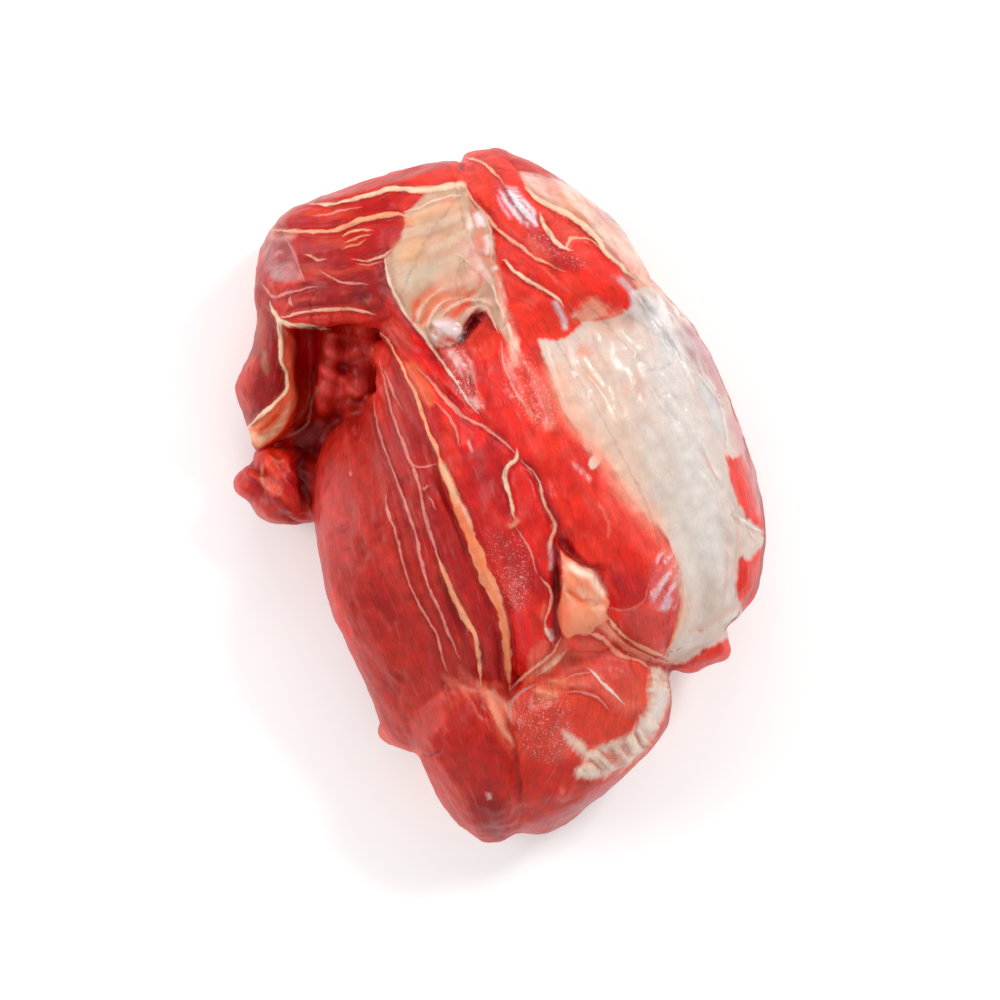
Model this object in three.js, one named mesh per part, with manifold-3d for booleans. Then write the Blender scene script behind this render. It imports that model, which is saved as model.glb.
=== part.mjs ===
// A boneless raw beef shank of just under two kilograms, lying on its flat side with the cut side up.
// It is one piece of meat: muscles side by side, still held together by their own skins.
// Millimetres, +Z up. The origin is under the middle of the piece, on the surface that it lies on,
// with +Y towards the thick upper end and -Y towards the two rounded heads at the narrow end.
import * as THREE from "three";
import { mergeVertices } from "three/addons/utils/BufferGeometryUtils.js";
import Module from "manifold-3d";

// Every muscle is a row of stations from one end to the other. A station is an upright section:
// [x, y] of its left edge, [x, y] of its right edge, then the heights of its top and its underside.
// A muscle also has:
//   blunt  how square its two ends are, from 2 for an egg to 6 for a sausage
//   full   how square its section is, from 2 for an ellipse
//   sides, rings  the faces round it and along it
const BLUNT = 4;
const FULL = 2.4;
const SIDES = 16;
const RINGS = 12;
// Slow waves that keep a muscle's surface uneven: how many go round it, how far each turns along
// it in radians, and how far one lifts the surface as a share of the muscle's size.
const WAVES = [
  { round: 2, along: 7 },
  { round: 3, along: -11 },
];
const UNEVEN = 0.02;

const masses = {
  // The long muscle down the middle and the right, whose right side is under the silver skin.
  trunk: {
    sides: 38,
    rings: 34,
    blunt: 5,
    full: 2.5,
    stations: [
      [[-26, 109], [10, 107], 54, 14],
      [[-36, 98], [30, 96], 68, 4],
      [[-38, 80], [47, 76], 77, -2],
      [[-36, 56], [66, 53], 81, -3],
      [[-36, 28], [79, 26], 83, -3],
      [[-36, 0], [87, -4], 82, -3],
      [[-34, -22], [86, -24], 78, -3],
      [[-28, -42], [78, -44], 70, -2],
      [[-16, -60], [62, -58], 56, 2],
    ],
  },
  // The smooth muscle that comes out of the hollow and makes the left side.
  leftBelly: {
    sides: 26,
    rings: 24,
    stations: [
      [[-63, 26], [-20, 32], 54, 4],
      [[-63, 8], [-8, 12], 63, -2],
      [[-62, -12], [0, -8], 67, -3],
      [[-58, -32], [4, -28], 66, -3],
      [[-51, -50], [6, -46], 61, -2],
      [[-45, -68], [6, -64], 53, 0],
      [[-44, -83], [-12, -88], 38, 4],
    ],
  },
  // The thick end that arches over the bone's hollow.
  arch: {
    sides: 28,
    rings: 20,
    full: 2.7,
    stations: [
      [[-8, 115], [-6, 61], 72, 4],
      [[-30, 110], [-28, 60], 73, 0],
      [[-50, 104], [-50, 58], 69, -2],
      [[-67, 98], [-68, 58], 59, -2],
      [[-82, 88], [-82, 61], 44, 2],
    ],
  },
  // The two heads at the narrow end.
  rightHead: {
    sides: 26,
    rings: 20,
    blunt: 3,
    stations: [
      [[2, -38], [58, -40], 66, -2],
      [[-2, -60], [58, -60], 67, -2],
      [[-2, -80], [53, -79], 62, -1],
      [[-1, -98], [40, -95], 51, 2],
      [[2, -115], [24, -111], 34, 7],
    ],
  },
  leftHead: {
    sides: 22,
    rings: 18,
    blunt: 3,
    stations: [
      [[-34, -52], [12, -52], 62, -2],
      [[-31, -76], [12, -76], 61, -1],
      [[-25, -92], [10, -94], 54, 0],
      [[-18, -106], [8, -108], 43, 4],
      [[-9, -116], [5, -116], 27, 8],
    ],
  },
  // The floor of the hollow and the skirt of meat that stands round its far side.
  hollowFloor: {
    sides: 18,
    rings: 10,
    full: 3,
    stations: [
      [[-80, 70], [-36, 70], 27, -4],
      [[-82, 48], [-34, 48], 24, -4],
      [[-82, 30], [-34, 28], 22, -4],
      [[-78, 12], [-40, 12], 20, -2],
    ],
  },
  skirt: {
    sides: 18,
    rings: 14,
    full: 2.2,
    stations: [
      [[-82, 70], [-66, 70], 54, -3],
      [[-84, 50], [-66, 50], 52, -3],
      [[-89, 38], [-67, 38], 47, -3],
      [[-87, 28], [-70, 28], 42, -2],
      [[-85, 19], [-76, 19], 34, 4],
    ],
  },
};

// Where the bone came out: a hollow open to the top and the near side, that runs in under the arch.
const hollows = {
  well: {
    sides: 20,
    rings: 14,
    blunt: 8,
    full: 5,
    stations: [
      [[-72, 58], [-42, 58], 120, 22],
      [[-70, 46], [-44, 46], 120, 20],
      [[-70, 37], [-50, 37], 120, 19],
      [[-72, 29], [-57, 29], 120, 19],
      [[-80, 18], [-63, 18], 120, 19],
    ],
  },
  underArch: {
    sides: 14,
    rings: 8,
    blunt: 3,
    stations: [
      [[-70, 72], [-46, 72], 40, 24],
      [[-71, 62], [-44, 62], 43, 22],
      [[-70, 50], [-44, 50], 46, 21],
    ],
  },
};

const bundles = {
  // The strips of the arch, from the far edge to the lip over the hollow.
  archFar: {
    stations: [
      [[-12, 115], [-10, 99], 72, 40],
      [[-38, 107], [-35, 93], 74, 40],
      [[-60, 100], [-56, 87], 68, 36],
      [[-72, 95], [-67, 83], 60, 30],
      [[-82, 84], [-76, 75], 45, 20],
    ],
  },
  archMiddle: {
    full: 3,
    stations: [
      [[-26, 98], [-26, 77], 76, 50],
      [[-50, 95], [-50, 76], 73, 46],
      [[-68, 90], [-68, 73], 63, 38],
      [[-82, 81], [-82, 70], 47, 26],
    ],
  },
  archNear: {
    full: 3,
    stations: [
      [[-28, 81], [-28, 60], 76, 48],
      [[-52, 80], [-52, 59], 71, 46],
      [[-69, 77], [-69, 59], 62, 38],
      [[-83, 74], [-82, 60], 46, 26],
    ],
  },
  archLip: {
    sides: 12,
    rings: 10,
    stations: [
      [[-36, 65], [-36, 56], 72, 52],
      [[-56, 64], [-56, 56], 67, 48],
      [[-70, 64], [-70, 56], 59, 42],
      [[-78, 64], [-77, 57], 49, 34],
    ],
  },
  // The pale tendon plate at the crown.
  tendon: {
    sides: 20,
    full: 2.8,
    stations: [
      [[-30, 109], [-10, 111], 73, 44],
      [[-39, 92], [-3, 92], 80, 50],
      [[-40, 74], [1, 74], 82, 50],
      [[-36, 60], [2, 58], 82, 50],
      [[-26, 46], [0, 46], 82, 52],
    ],
  },
  // The short muscles at the top right, with the pale ridge along the far edge.
  crown: {
    sides: 20,
    full: 2.8,
    blunt: 5,
    stations: [
      [[-16, 115], [3, 117], 58, 24],
      [[-12, 100], [20, 105], 74, 36],
      [[-6, 80], [36, 93], 81, 40],
      [[4, 62], [47, 78], 84, 40],
      [[22, 50], [56, 62], 83, 44],
    ],
  },
  farRidge: {
    stations: [
      [[-3, 104], [6, 112], 56, 20],
      [[12, 96], [22, 105], 66, 16],
      [[26, 83], [37, 92], 70, 14],
      [[39, 66], [50, 75], 70, 14],
    ],
  },
  // The leaves of the cut face, each a step higher than the last.
  leafLow: {
    full: 3,
    stations: [
      [[-49, 34], [-30, 36], 57, 26],
      [[-42, 10], [-22, 11], 66, 30],
      [[-36, -10], [-14, -11], 69, 32],
      [[-27, -34], [-6, -36], 68, 30],
      [[-19, -62], [-2, -63], 59, 26],
    ],
  },
  leafMiddle: {
    full: 3,
    stations: [
      [[-46, 54], [-30, 52], 62, 34],
      [[-38, 24], [-18, 24], 71, 38],
      [[-31, 4], [-9, 3], 75, 40],
      [[-22, -18], [-2, -20], 75, 40],
      [[-14, -42], [4, -43], 71, 36],
      [[-8, -65], [5, -66], 61, 32],
    ],
  },
  leafHigh: {
    full: 3,
    stations: [
      [[-44, 60], [-28, 60], 68, 42],
      [[-33, 36], [-10, 38], 77, 46],
      [[-24, 16], [0, 16], 80, 46],
      [[-15, -6], [8, -6], 80, 46],
      [[-6, -28], [14, -30], 77, 42],
      [[0, -56], [15, -58], 67, 38],
    ],
  },
  // The bright muscle down the middle and the slender strip that lies against it.
  middle: {
    rings: 14,
    full: 3,
    stations: [
      [[-26, 58], [-2, 54], 80, 52],
      [[-18, 34], [12, 30], 84, 54],
      [[-11, 12], [18, 10], 86, 54],
      [[-4, -12], [22, -14], 84, 52],
      [[3, -36], [24, -40], 79, 46],
      [[6, -62], [20, -62], 68, 42],
    ],
  },
  slender: {
    sides: 12,
    rings: 10,
    stations: [
      [[1, 18], [10, 17], 85, 62],
      [[3, 2], [19, 2], 87, 62],
      [[7, -20], [23, -20], 84, 60],
      [[12, -43], [24, -44], 77, 54],
    ],
  },
  // The broad muscle at the centre right, which ends in a round shoulder.
  broad: {
    sides: 22,
    rings: 16,
    full: 2.8,
    stations: [
      [[-10, 62], [22, 56], 82, 52],
      [[-2, 36], [36, 36], 86, 50],
      [[9, 12], [46, 10], 87, 46],
      [[18, -12], [60, -12], 85, 40],
      [[26, -32], [67, -32], 79, 36],
      [[36, -52], [64, -52], 69, 30],
    ],
  },
  fatLump: {
    sides: 14,
    rings: 10,
    stations: [
      [[17, -16], [30, -17], 84, 60],
      [[18, -33], [38, -34], 84, 60],
      [[19, -50], [39, -50], 76, 56],
    ],
  },
};

// What lies in and round the hollow, and the scraps of trimmed muscle at the sides.
const loose = {
  hollowLump: {
    sides: 14,
    rings: 10,
    stations: [
      [[-62, 66], [-50, 66], 40, 6],
      [[-62, 46], [-50, 47], 40, 6],
      [[-62, 27], [-53, 29], 35, 6],
    ],
  },
  hollowShelf: {
    sides: 14,
    rings: 10,
    stations: [
      [[-54, 66], [-38, 66], 43, 6],
      [[-53, 47], [-38, 47], 43, 6],
      [[-58, 28], [-42, 28], 41, 6],
    ],
  },
  lobe: {
    sides: 18,
    rings: 12,
    blunt: 3,
    stations: [
      [[-82, 17], [-64, 18], 31, -2],
      [[-88, 5], [-60, 6], 35, -4],
      [[-80, -9], [-58, -8], 29, -2],
    ],
  },
  sideScrap: {
    sides: 12,
    rings: 10,
    stations: [
      [[66, 30], [76, 28], 50, 30],
      [[74, 10], [85, 9], 48, 24],
      [[77, -8], [88, -8], 44, 24],
      [[76, -16], [87, -16], 38, 24],
    ],
  },
  lowScrap: {
    sides: 12,
    rings: 8,
    stations: [
      [[70, -14], [89, -17], 42, 14],
      [[68, -26], [87, -28], 42, 12],
      [[64, -38], [81, -40], 38, 14],
    ],
  },
  endScrap: {
    sides: 12,
    rings: 8,
    stations: [
      [[74, -34], [77, -54], 42, 16],
      [[65, -38], [67, -57], 46, 14],
      [[56, -44], [58, -60], 44, 16],
    ],
  },
};

const wasm = await Module();
wasm.setup();

// One muscle as a closed mesh: a section at each ring, drawn in to a point at both ends.
function muscleGeometry({
  stations,
  blunt = BLUNT,
  full = FULL,
  sides = SIDES,
  rings = RINGS,
}) {
  const through = (points) =>
    new THREE.CatmullRomCurve3(points, false, "catmullrom");
  const left = through(
    stations.map(([l, , , bottom]) => new THREE.Vector3(...l, bottom)),
  );
  const right = through(
    stations.map(([, r, top]) => new THREE.Vector3(...r, top)),
  );
  const [[phase]] = stations[0];
  const positions = [];
  for (let ring = 0; ring <= rings; ring++) {
    const t = (1 - Math.cos((Math.PI * ring) / rings)) / 2;
    const low = left.getPoint(t);
    const high = right.getPoint(t);
    const middle = low.clone().lerp(high, 0.5);
    const half = high.clone().sub(middle);
    const isEnd = ring === 0 || ring === rings;
    const drawIn = isEnd
      ? 0
      : Math.pow(1 - Math.pow(Math.abs(2 * t - 1), blunt), 1 / blunt);
    for (let side = 0; side < (isEnd ? 1 : sides); side++) {
      const angle = (2 * Math.PI * side) / sides;
      const [c, s] = [Math.cos(angle), Math.sin(angle)];
      const round = Math.pow(
        Math.pow(Math.abs(c), full) + Math.pow(Math.abs(s), full),
        -1 / full,
      );
      const waves = WAVES.map((wave) =>
        Math.sin(wave.round * (angle + phase) + wave.along * t),
      );
      const uneven = 1 + UNEVEN * (waves[0] + waves[1]);
      const reach = drawIn * round * uneven;
      positions.push(
        middle.x + half.x * c * reach,
        middle.y + half.y * c * reach,
        middle.z + half.z * s * reach,
      );
    }
  }
  const faces = [];
  const firstOf = (ring) => 1 + (ring - 1) * sides;
  const last = positions.length / 3 - 1;
  for (let side = 0; side < sides; side++) {
    const next = (side + 1) % sides;
    faces.push(0, firstOf(1) + next, firstOf(1) + side);
    faces.push(last, firstOf(rings - 1) + side, firstOf(rings - 1) + next);
    for (let ring = 1; ring < rings - 1; ring++) {
      const [a, b] = [firstOf(ring), firstOf(ring + 1)];
      faces.push(a + side, b + next, b + side);
      faces.push(a + side, a + next, b + next);
    }
  }
  const geometry = new THREE.BufferGeometry();
  geometry.setAttribute(
    "position",
    new THREE.Float32BufferAttribute(positions, 3),
  );
  geometry.setIndex(faces);
  return geometry;
}

// A closed mesh as a solid that can be joined and cut.
function solidOf(geometry) {
  const bare = geometry.clone();
  bare.deleteAttribute("normal");
  bare.deleteAttribute("uv");
  const merged = mergeVertices(bare, 1e-4);
  return new wasm.Manifold(
    new wasm.Mesh({
      numProp: 3,
      vertProperties: merged.attributes.position.array,
      triVerts: new Uint32Array(merged.index.array),
    }),
  );
}

function joined(muscles) {
  return Object.values(muscles)
    .map((muscle) => solidOf(muscleGeometry(muscle)))
    .reduce((whole, muscle) => whole.add(muscle));
}

// Everything under the surface that the piece lies on, which presses its underside flat.
function restingBlock() {
  const size = 400;
  const block = new THREE.BoxGeometry(size, size, size);
  block.translate(0, 0, -size / 2);
  return solidOf(block);
}

// The largest body of a solid: gaps sealed between the muscles are filled.
function wholeOf(solid) {
  return solid.decompose().reduce((a, b) => (b.volume() > a.volume() ? b : a));
}

function shankGeometry() {
  const meat = joined(masses)
    .add(joined(bundles))
    .subtract(joined(hollows))
    .add(joined(loose))
    .subtract(restingBlock());
  const { vertProperties, triVerts } = wholeOf(meat).getMesh();
  const geometry = new THREE.BufferGeometry();
  geometry.setAttribute(
    "position",
    new THREE.Float32BufferAttribute(vertProperties, 3),
  );
  geometry.setIndex(new THREE.BufferAttribute(triVerts, 1));
  geometry.computeVertexNormals();
  return geometry;
}

const shank = new THREE.Mesh(
  shankGeometry(),
  new THREE.MeshStandardMaterial({
    color: 0xb5342f,
    roughness: 0.35,
    metalness: 0,
  }),
);
shank.name = "shank";

const beefShank = new THREE.Group();
beefShank.add(shank);

export default beefShank;
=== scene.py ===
import math

import bpy
import numpy as np
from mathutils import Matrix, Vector


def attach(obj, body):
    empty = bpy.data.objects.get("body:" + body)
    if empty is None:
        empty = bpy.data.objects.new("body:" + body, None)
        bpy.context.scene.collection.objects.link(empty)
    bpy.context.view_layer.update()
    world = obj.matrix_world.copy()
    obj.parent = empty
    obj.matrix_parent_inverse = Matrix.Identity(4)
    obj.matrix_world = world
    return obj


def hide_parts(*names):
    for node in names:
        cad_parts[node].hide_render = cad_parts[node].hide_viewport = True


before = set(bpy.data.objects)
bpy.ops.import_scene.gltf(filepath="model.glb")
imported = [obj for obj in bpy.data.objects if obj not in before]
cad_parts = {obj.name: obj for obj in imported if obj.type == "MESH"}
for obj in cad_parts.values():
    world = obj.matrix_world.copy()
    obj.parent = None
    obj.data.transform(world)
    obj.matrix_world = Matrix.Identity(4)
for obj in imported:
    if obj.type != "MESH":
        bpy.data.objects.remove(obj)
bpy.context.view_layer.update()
mm = 0.001
seed = 7

# The camera looks straight down. A place on the meat is given by where it shows in the
# picture, in pixels of its 1000 x 1000 frame, x to the right and y down.
camera = {
    "centre": (-0.33 * mm, -0.33 * mm),
    "height": 1891.9 * mm,
    "lens": 200.0,
    "sensor": 36.0,
    "side": 1000,
    "clip": 20,
}
pxPerMm = 3.0  # at 40 mm above the floor


def aimCamera():
    data = bpy.data.cameras.new("lookDown")
    data.lens = camera["lens"]
    data.sensor_width = camera["sensor"]
    data.clip_end = camera["clip"]
    eye = bpy.data.objects.new("lookDown", data)
    eye.location = (*camera["centre"], camera["height"])
    bpy.context.scene.collection.objects.link(eye)
    bpy.context.scene.camera = eye


def inPicture(points):
    # Where the points show in the picture, in its pixels.
    focal = camera["side"] * camera["lens"] / camera["sensor"]
    scale = focal / (camera["height"] - points[:, 2])
    half = camera["side"] / 2
    across = half + (points[:, 0] - camera["centre"][0]) * scale
    down = half - (points[:, 1] - camera["centre"][1]) * scale
    return np.column_stack([across, down])


aimCamera()


# Sums that the shapes and the colours share

def ease(value, low, high):
    t = np.clip((value - low) / (high - low), 0, 1)
    return t * t * (3 - 2 * t)


def within(share, ends=0.06):
    # 1 along a line, going to 0 at both ends of it.
    return ease(share, 0, ends) * ease(1 - share, 0, ends)


def bell(away, wide):
    return np.exp(-(away / wide) ** 2)


def turned(x, y, degrees):
    c, s = math.cos(math.radians(degrees)), math.sin(math.radians(degrees))
    return x * c + y * s, y * c - x * s


def curveThrough(points, t):
    # A smooth curve through the points, read at t from 0 to 1.
    p = np.asarray(points, float)
    last = len(p) - 1
    p = np.vstack([2 * p[0] - p[1], p, 2 * p[-1] - p[-2]])
    place = np.clip(t, 0, 1) * last
    i = np.minimum(place.astype(int), last - 1)
    w = (place - i)[:, None]
    a, b, c, d = p[i], p[i + 1], p[i + 2], p[i + 3]
    leave, arrive = (c - a) / 2, (d - b) / 2
    cube = 2 * b - 2 * c + leave + arrive
    square = 3 * c - 3 * b - 2 * leave - arrive
    return cube * w**3 + square * w**2 + leave * w + b


def smoothLine(numbers, closed=False):
    # Lines and outlines are kept as x, y, x, y and so on.
    points = np.reshape(numbers, (-1, 2))
    if closed:
        points = np.vstack([points, points[:1]])
    return curveThrough(points, np.linspace(0, 1, 4 * len(points)))


def fromLine(places, line):
    # Distance to a line, with its sign telling the side, and the share of its length passed.
    start, step = line[:-1], np.diff(line, axis=0)
    length = np.maximum(np.hypot(step[:, 0], step[:, 1]), 1e-6)
    passed = np.concatenate([[0], np.cumsum(length)])
    best = np.full(len(places), 1e9)
    side = np.zeros(len(places))
    share = np.zeros(len(places))
    for i in range(len(start)):
        away = places - start[i]
        t = np.clip((away @ step[i]) / length[i] ** 2, 0, 1)
        gap = away - t[:, None] * step[i]
        d = np.hypot(gap[:, 0], gap[:, 1])
        nearer = d < best
        best[nearer] = d[nearer]
        turn = away[:, 1] * step[i][0] - away[:, 0] * step[i][1]
        side[nearer] = np.where(turn[nearer] < 0, 1, -1)
        share[nearer] = (passed[i] + t[nearer] * length[i]) / passed[-1]
    return best * side, share


def insideOf(places, outline):
    # Distance to a closed outline, above 0 inside it.
    line = smoothLine(outline, closed=True)
    depth, _ = fromLine(places, line)
    x, y = places[:, 0], places[:, 1]
    odd = np.zeros(len(places), bool)
    for (x0, y0), (x1, y1) in zip(line[:-1], line[1:]):
        crosses = (y0 > y) != (y1 > y)
        if crosses.any():
            odd ^= crosses & (x < (x1 - x0) * (y - y0) / (y1 - y0 + 1e-12) + x0)
    return np.where(odd, np.abs(depth), -np.abs(depth))


def nearby(places, numbers, reach):
    points = np.reshape(numbers, (-1, 2))
    low, high = points.min(0) - reach, points.max(0) + reach
    return np.where(((places > low) & (places < high)).all(1))[0]


def besideLine(seen, line, reach):
    # The points near a line, how far from it each is in mm, and how far along it.
    near = nearby(seen, line, reach)
    away, share = fromLine(seen[near], smoothLine(line))
    return near, away / pxPerMm, share


def withinOutline(seen, outline, reach):
    # The points in and near an outline, and how far inside it each is in mm.
    near = nearby(seen, outline, reach)
    return near, insideOf(seen[near], outline) / pxPerMm


def cloud(points, size, draws):
    # Smooth unevenness from -1 to 1, with lumps of about the given size.
    draw = np.random.default_rng(seed + draws).uniform(-1, 1, 8192)
    p = points / np.asarray(size, float)
    base = np.floor(p).astype(np.int64)
    w = p - base
    w = w * w * (3 - 2 * w)
    total = np.zeros(len(p))
    for corner in range(8):
        step = np.array([corner & 1, corner >> 1 & 1, corner >> 2 & 1])
        at = base + step
        # Each corner of the grid always picks the same draw.
        pick = (at[:, 0] * 73856093 ^ at[:, 1] * 19349663 ^ at[:, 2] * 83492791) & 8191
        weight = np.where(step, w, 1 - w).prod(1)
        total += draw[pick] * weight
    return total


# The muscles, in millimetres. Each station has x and y of the left edge, x and y of the right
# edge, and the heights of the top and the underside.

roundness = {"blunt": 4, "full": 2.4, "uneven": 0.02, "waves": ((2, 7), (3, -11))}

masses = {
    # The long muscle down the middle and the right, whose right side is under the silver skin.
    "trunk": {"blunt": 5, "full": 2.5, "stations": [
        (-26, 109, 10, 107, 54, 14), (-36, 98, 30, 96, 68, 4), (-38, 80, 47, 76, 77, -2),
        (-36, 56, 66, 53, 81, -3), (-36, 28, 79, 26, 83, -3), (-36, 0, 87, -4, 82, -3),
        (-34, -22, 86, -24, 78, -3), (-28, -42, 78, -44, 70, -2), (-16, -60, 62, -58, 56, 2)]},
    # The smooth muscle that comes out of the hollow and makes the left side.
    "leftBelly": {"stations": [
        (-63, 26, -20, 32, 54, 4), (-63, 8, -8, 12, 63, -2), (-62, -12, 0, -8, 67, -3),
        (-58, -32, 4, -28, 66, -3), (-51, -50, 6, -46, 61, -2), (-45, -68, 6, -64, 53, 0),
        (-44, -83, -12, -88, 38, 4)]},
    # The thick end that arches over the bone's hollow.
    "arch": {"full": 2.7, "stations": [
        (-8, 115, -6, 61, 72, 4), (-30, 110, -28, 60, 73, 0), (-50, 104, -50, 58, 69, -2),
        (-67, 98, -68, 58, 59, -2), (-82, 88, -82, 61, 44, 2)]},
    # The two heads at the narrow end.
    "rightHead": {"blunt": 3, "stations": [
        (2, -38, 58, -40, 66, -2), (-2, -60, 58, -60, 67, -2), (-2, -80, 53, -79, 62, -1),
        (-1, -98, 40, -95, 51, 2), (2, -115, 24, -111, 34, 7)]},
    "leftHead": {"blunt": 3, "stations": [
        (-34, -52, 12, -52, 62, -2), (-31, -76, 12, -76, 61, -1), (-25, -92, 10, -94, 54, 0),
        (-18, -106, 8, -108, 43, 4), (-9, -116, 5, -116, 27, 8)]},
    # The floor of the hollow and the skirt of meat that stands round its far side.
    "hollowFloor": {"full": 3, "stations": [
        (-80, 70, -36, 70, 27, -4), (-82, 48, -34, 48, 24, -4), (-82, 30, -34, 28, 22, -4),
        (-78, 12, -40, 12, 20, -2)]},
    "skirt": {"full": 2.2, "stations": [
        (-82, 70, -66, 70, 54, -3), (-84, 50, -66, 50, 52, -3), (-89, 38, -67, 38, 47, -3),
        (-87, 28, -70, 28, 42, -2), (-85, 19, -76, 19, 34, 4)]},
}

# Where the bone came out: a hollow open to the top and the near side, that runs in under the arch.
hollows = {
    "well": {"blunt": 8, "full": 5, "stations": [
        (-72, 58, -42, 58, 120, 22), (-70, 46, -44, 46, 120, 20), (-70, 37, -50, 37, 120, 19),
        (-72, 29, -57, 29, 120, 19), (-80, 18, -63, 18, 120, 19)]},
    "underArch": {"blunt": 3, "stations": [
        (-70, 72, -46, 72, 40, 24), (-71, 62, -44, 62, 43, 22), (-70, 50, -44, 50, 46, 21)]},
}

bundles = {
    # The strips of the arch, from the far edge to the lip over the hollow.
    "archFar": {"stations": [
        (-12, 115, -10, 99, 72, 40), (-38, 107, -35, 93, 74, 40), (-60, 100, -56, 87, 68, 36),
        (-72, 95, -67, 83, 60, 30), (-82, 84, -76, 75, 45, 20)]},
    "archMiddle": {"full": 3, "stations": [
        (-26, 98, -26, 77, 76, 50), (-50, 95, -50, 76, 73, 46), (-68, 90, -68, 73, 63, 38),
        (-82, 81, -82, 70, 47, 26)]},
    "archNear": {"full": 3, "stations": [
        (-28, 81, -28, 60, 76, 48), (-52, 80, -52, 59, 71, 46), (-69, 77, -69, 59, 62, 38),
        (-83, 74, -82, 60, 46, 26)]},
    "archLip": {"stations": [
        (-36, 65, -36, 56, 72, 52), (-56, 64, -56, 56, 67, 48), (-70, 64, -70, 56, 59, 42),
        (-78, 64, -77, 57, 49, 34)]},
    # The pale tendon plate at the crown.
    "tendon": {"full": 2.8, "stations": [
        (-30, 109, -10, 111, 73, 44), (-39, 92, -3, 92, 80, 50), (-40, 74, 1, 74, 82, 50),
        (-36, 60, 2, 58, 82, 50), (-26, 46, 0, 46, 82, 52)]},
    # The short muscles at the top right, with the pale ridge along the far edge.
    "crown": {"blunt": 5, "full": 2.8, "stations": [
        (-16, 115, 3, 117, 58, 24), (-12, 100, 20, 105, 74, 36), (-6, 80, 36, 93, 81, 40),
        (4, 62, 47, 78, 84, 40), (22, 50, 56, 62, 83, 44)]},
    "farRidge": {"stations": [
        (-3, 104, 6, 112, 56, 20), (12, 96, 22, 105, 66, 16), (26, 83, 37, 92, 70, 14),
        (39, 66, 50, 75, 70, 14)]},
    # The leaves of the cut face, each a step higher than the last.
    "leafLow": {"full": 3, "stations": [
        (-49, 34, -30, 36, 57, 26), (-42, 10, -22, 11, 66, 30), (-36, -10, -14, -11, 69, 32),
        (-27, -34, -6, -36, 68, 30), (-19, -62, -2, -63, 59, 26)]},
    "leafMiddle": {"full": 3, "stations": [
        (-46, 54, -30, 52, 62, 34), (-38, 24, -18, 24, 71, 38), (-31, 4, -9, 3, 75, 40),
        (-22, -18, -2, -20, 75, 40), (-14, -42, 4, -43, 71, 36), (-8, -65, 5, -66, 61, 32)]},
    "leafHigh": {"full": 3, "stations": [
        (-44, 60, -28, 60, 68, 42), (-33, 36, -10, 38, 77, 46), (-24, 16, 0, 16, 80, 46),
        (-15, -6, 8, -6, 80, 46), (-6, -28, 14, -30, 77, 42), (0, -56, 15, -58, 67, 38)]},
    # The bright muscle down the middle and the slender strip that lies against it.
    "middle": {"full": 3, "stations": [
        (-26, 58, -2, 54, 80, 52), (-18, 34, 12, 30, 84, 54), (-11, 12, 18, 10, 86, 54),
        (-4, -12, 22, -14, 84, 52), (3, -36, 24, -40, 79, 46), (6, -62, 20, -62, 68, 42)]},
    "slender": {"stations": [
        (1, 18, 10, 17, 85, 62), (3, 2, 19, 2, 87, 62), (7, -20, 23, -20, 84, 60),
        (12, -43, 24, -44, 77, 54)]},
    # The broad muscle at the centre right, which ends in a round shoulder.
    "broad": {"full": 2.8, "stations": [
        (-10, 62, 22, 56, 82, 52), (-2, 36, 36, 36, 86, 50), (9, 12, 46, 10, 87, 46),
        (18, -12, 60, -12, 85, 40), (26, -32, 67, -32, 79, 36), (36, -52, 64, -52, 69, 30)]},
    "fatLump": {"stations": [
        (17, -16, 30, -17, 84, 60), (18, -33, 38, -34, 84, 60), (19, -50, 39, -50, 76, 56)]},
}

# What lies in and round the hollow, and the scraps of trimmed muscle at the sides.
loose = {
    "hollowLump": {"stations": [
        (-62, 66, -50, 66, 40, 6), (-62, 46, -50, 47, 40, 6), (-62, 27, -53, 29, 35, 6)]},
    "hollowShelf": {"stations": [
        (-54, 66, -38, 66, 43, 6), (-53, 47, -38, 47, 43, 6), (-58, 28, -42, 28, 41, 6)]},
    # The curled rim of the skirt, and the corner that hangs under the left belly.
    "rimLedge": {"stations": [
        (-75, 62, -70, 62, 50, 22), (-74, 52, -68.5, 52, 48, 20), (-74, 42, -69, 42, 45, 18),
        (-74, 33, -68, 34, 40, 18), (-80, 25, -71, 23, 34, 18), (-84, 20, -78, 17, 30, 20),
        (-83.5, 17, -76.5, 13, 27, 19)]},
    "bellyTab": {"stations": [
        (-41, -74, -30, -70, 24, 4), (-41, -80, -26, -76, 26, 2), (-37, -84, -24, -83, 24, 4)]},
    "lobe": {"blunt": 3, "stations": [
        (-82, 17, -64, 18, 31, -2), (-88, 5, -60, 6, 35, -4), (-80, -9, -58, -8, 29, -2)]},
    "sideScrap": {"stations": [
        (66, 30, 76, 28, 50, 30), (74, 10, 85, 9, 48, 24), (77, -8, 88, -8, 44, 24),
        (76, -16, 87, -16, 38, 24)]},
    "lowScrap": {"stations": [
        (70, -14, 89, -17, 42, 14), (68, -26, 87, -28, 42, 12), (64, -38, 81, -40, 38, 14)]},
    "endScrap": {"stations": [
        (74, -34, 77, -54, 42, 16), (65, -38, 67, -57, 46, 14), (56, -44, 58, -60, 44, 16)]},
}

meshing = {
    "sides": 40,
    "rings": 44,
    "join": 1.2 * mm,
    "final": 0.75 * mm,
    "soften": 10,
    "polish": 2,
    "triangles": 196000,
}


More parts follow.
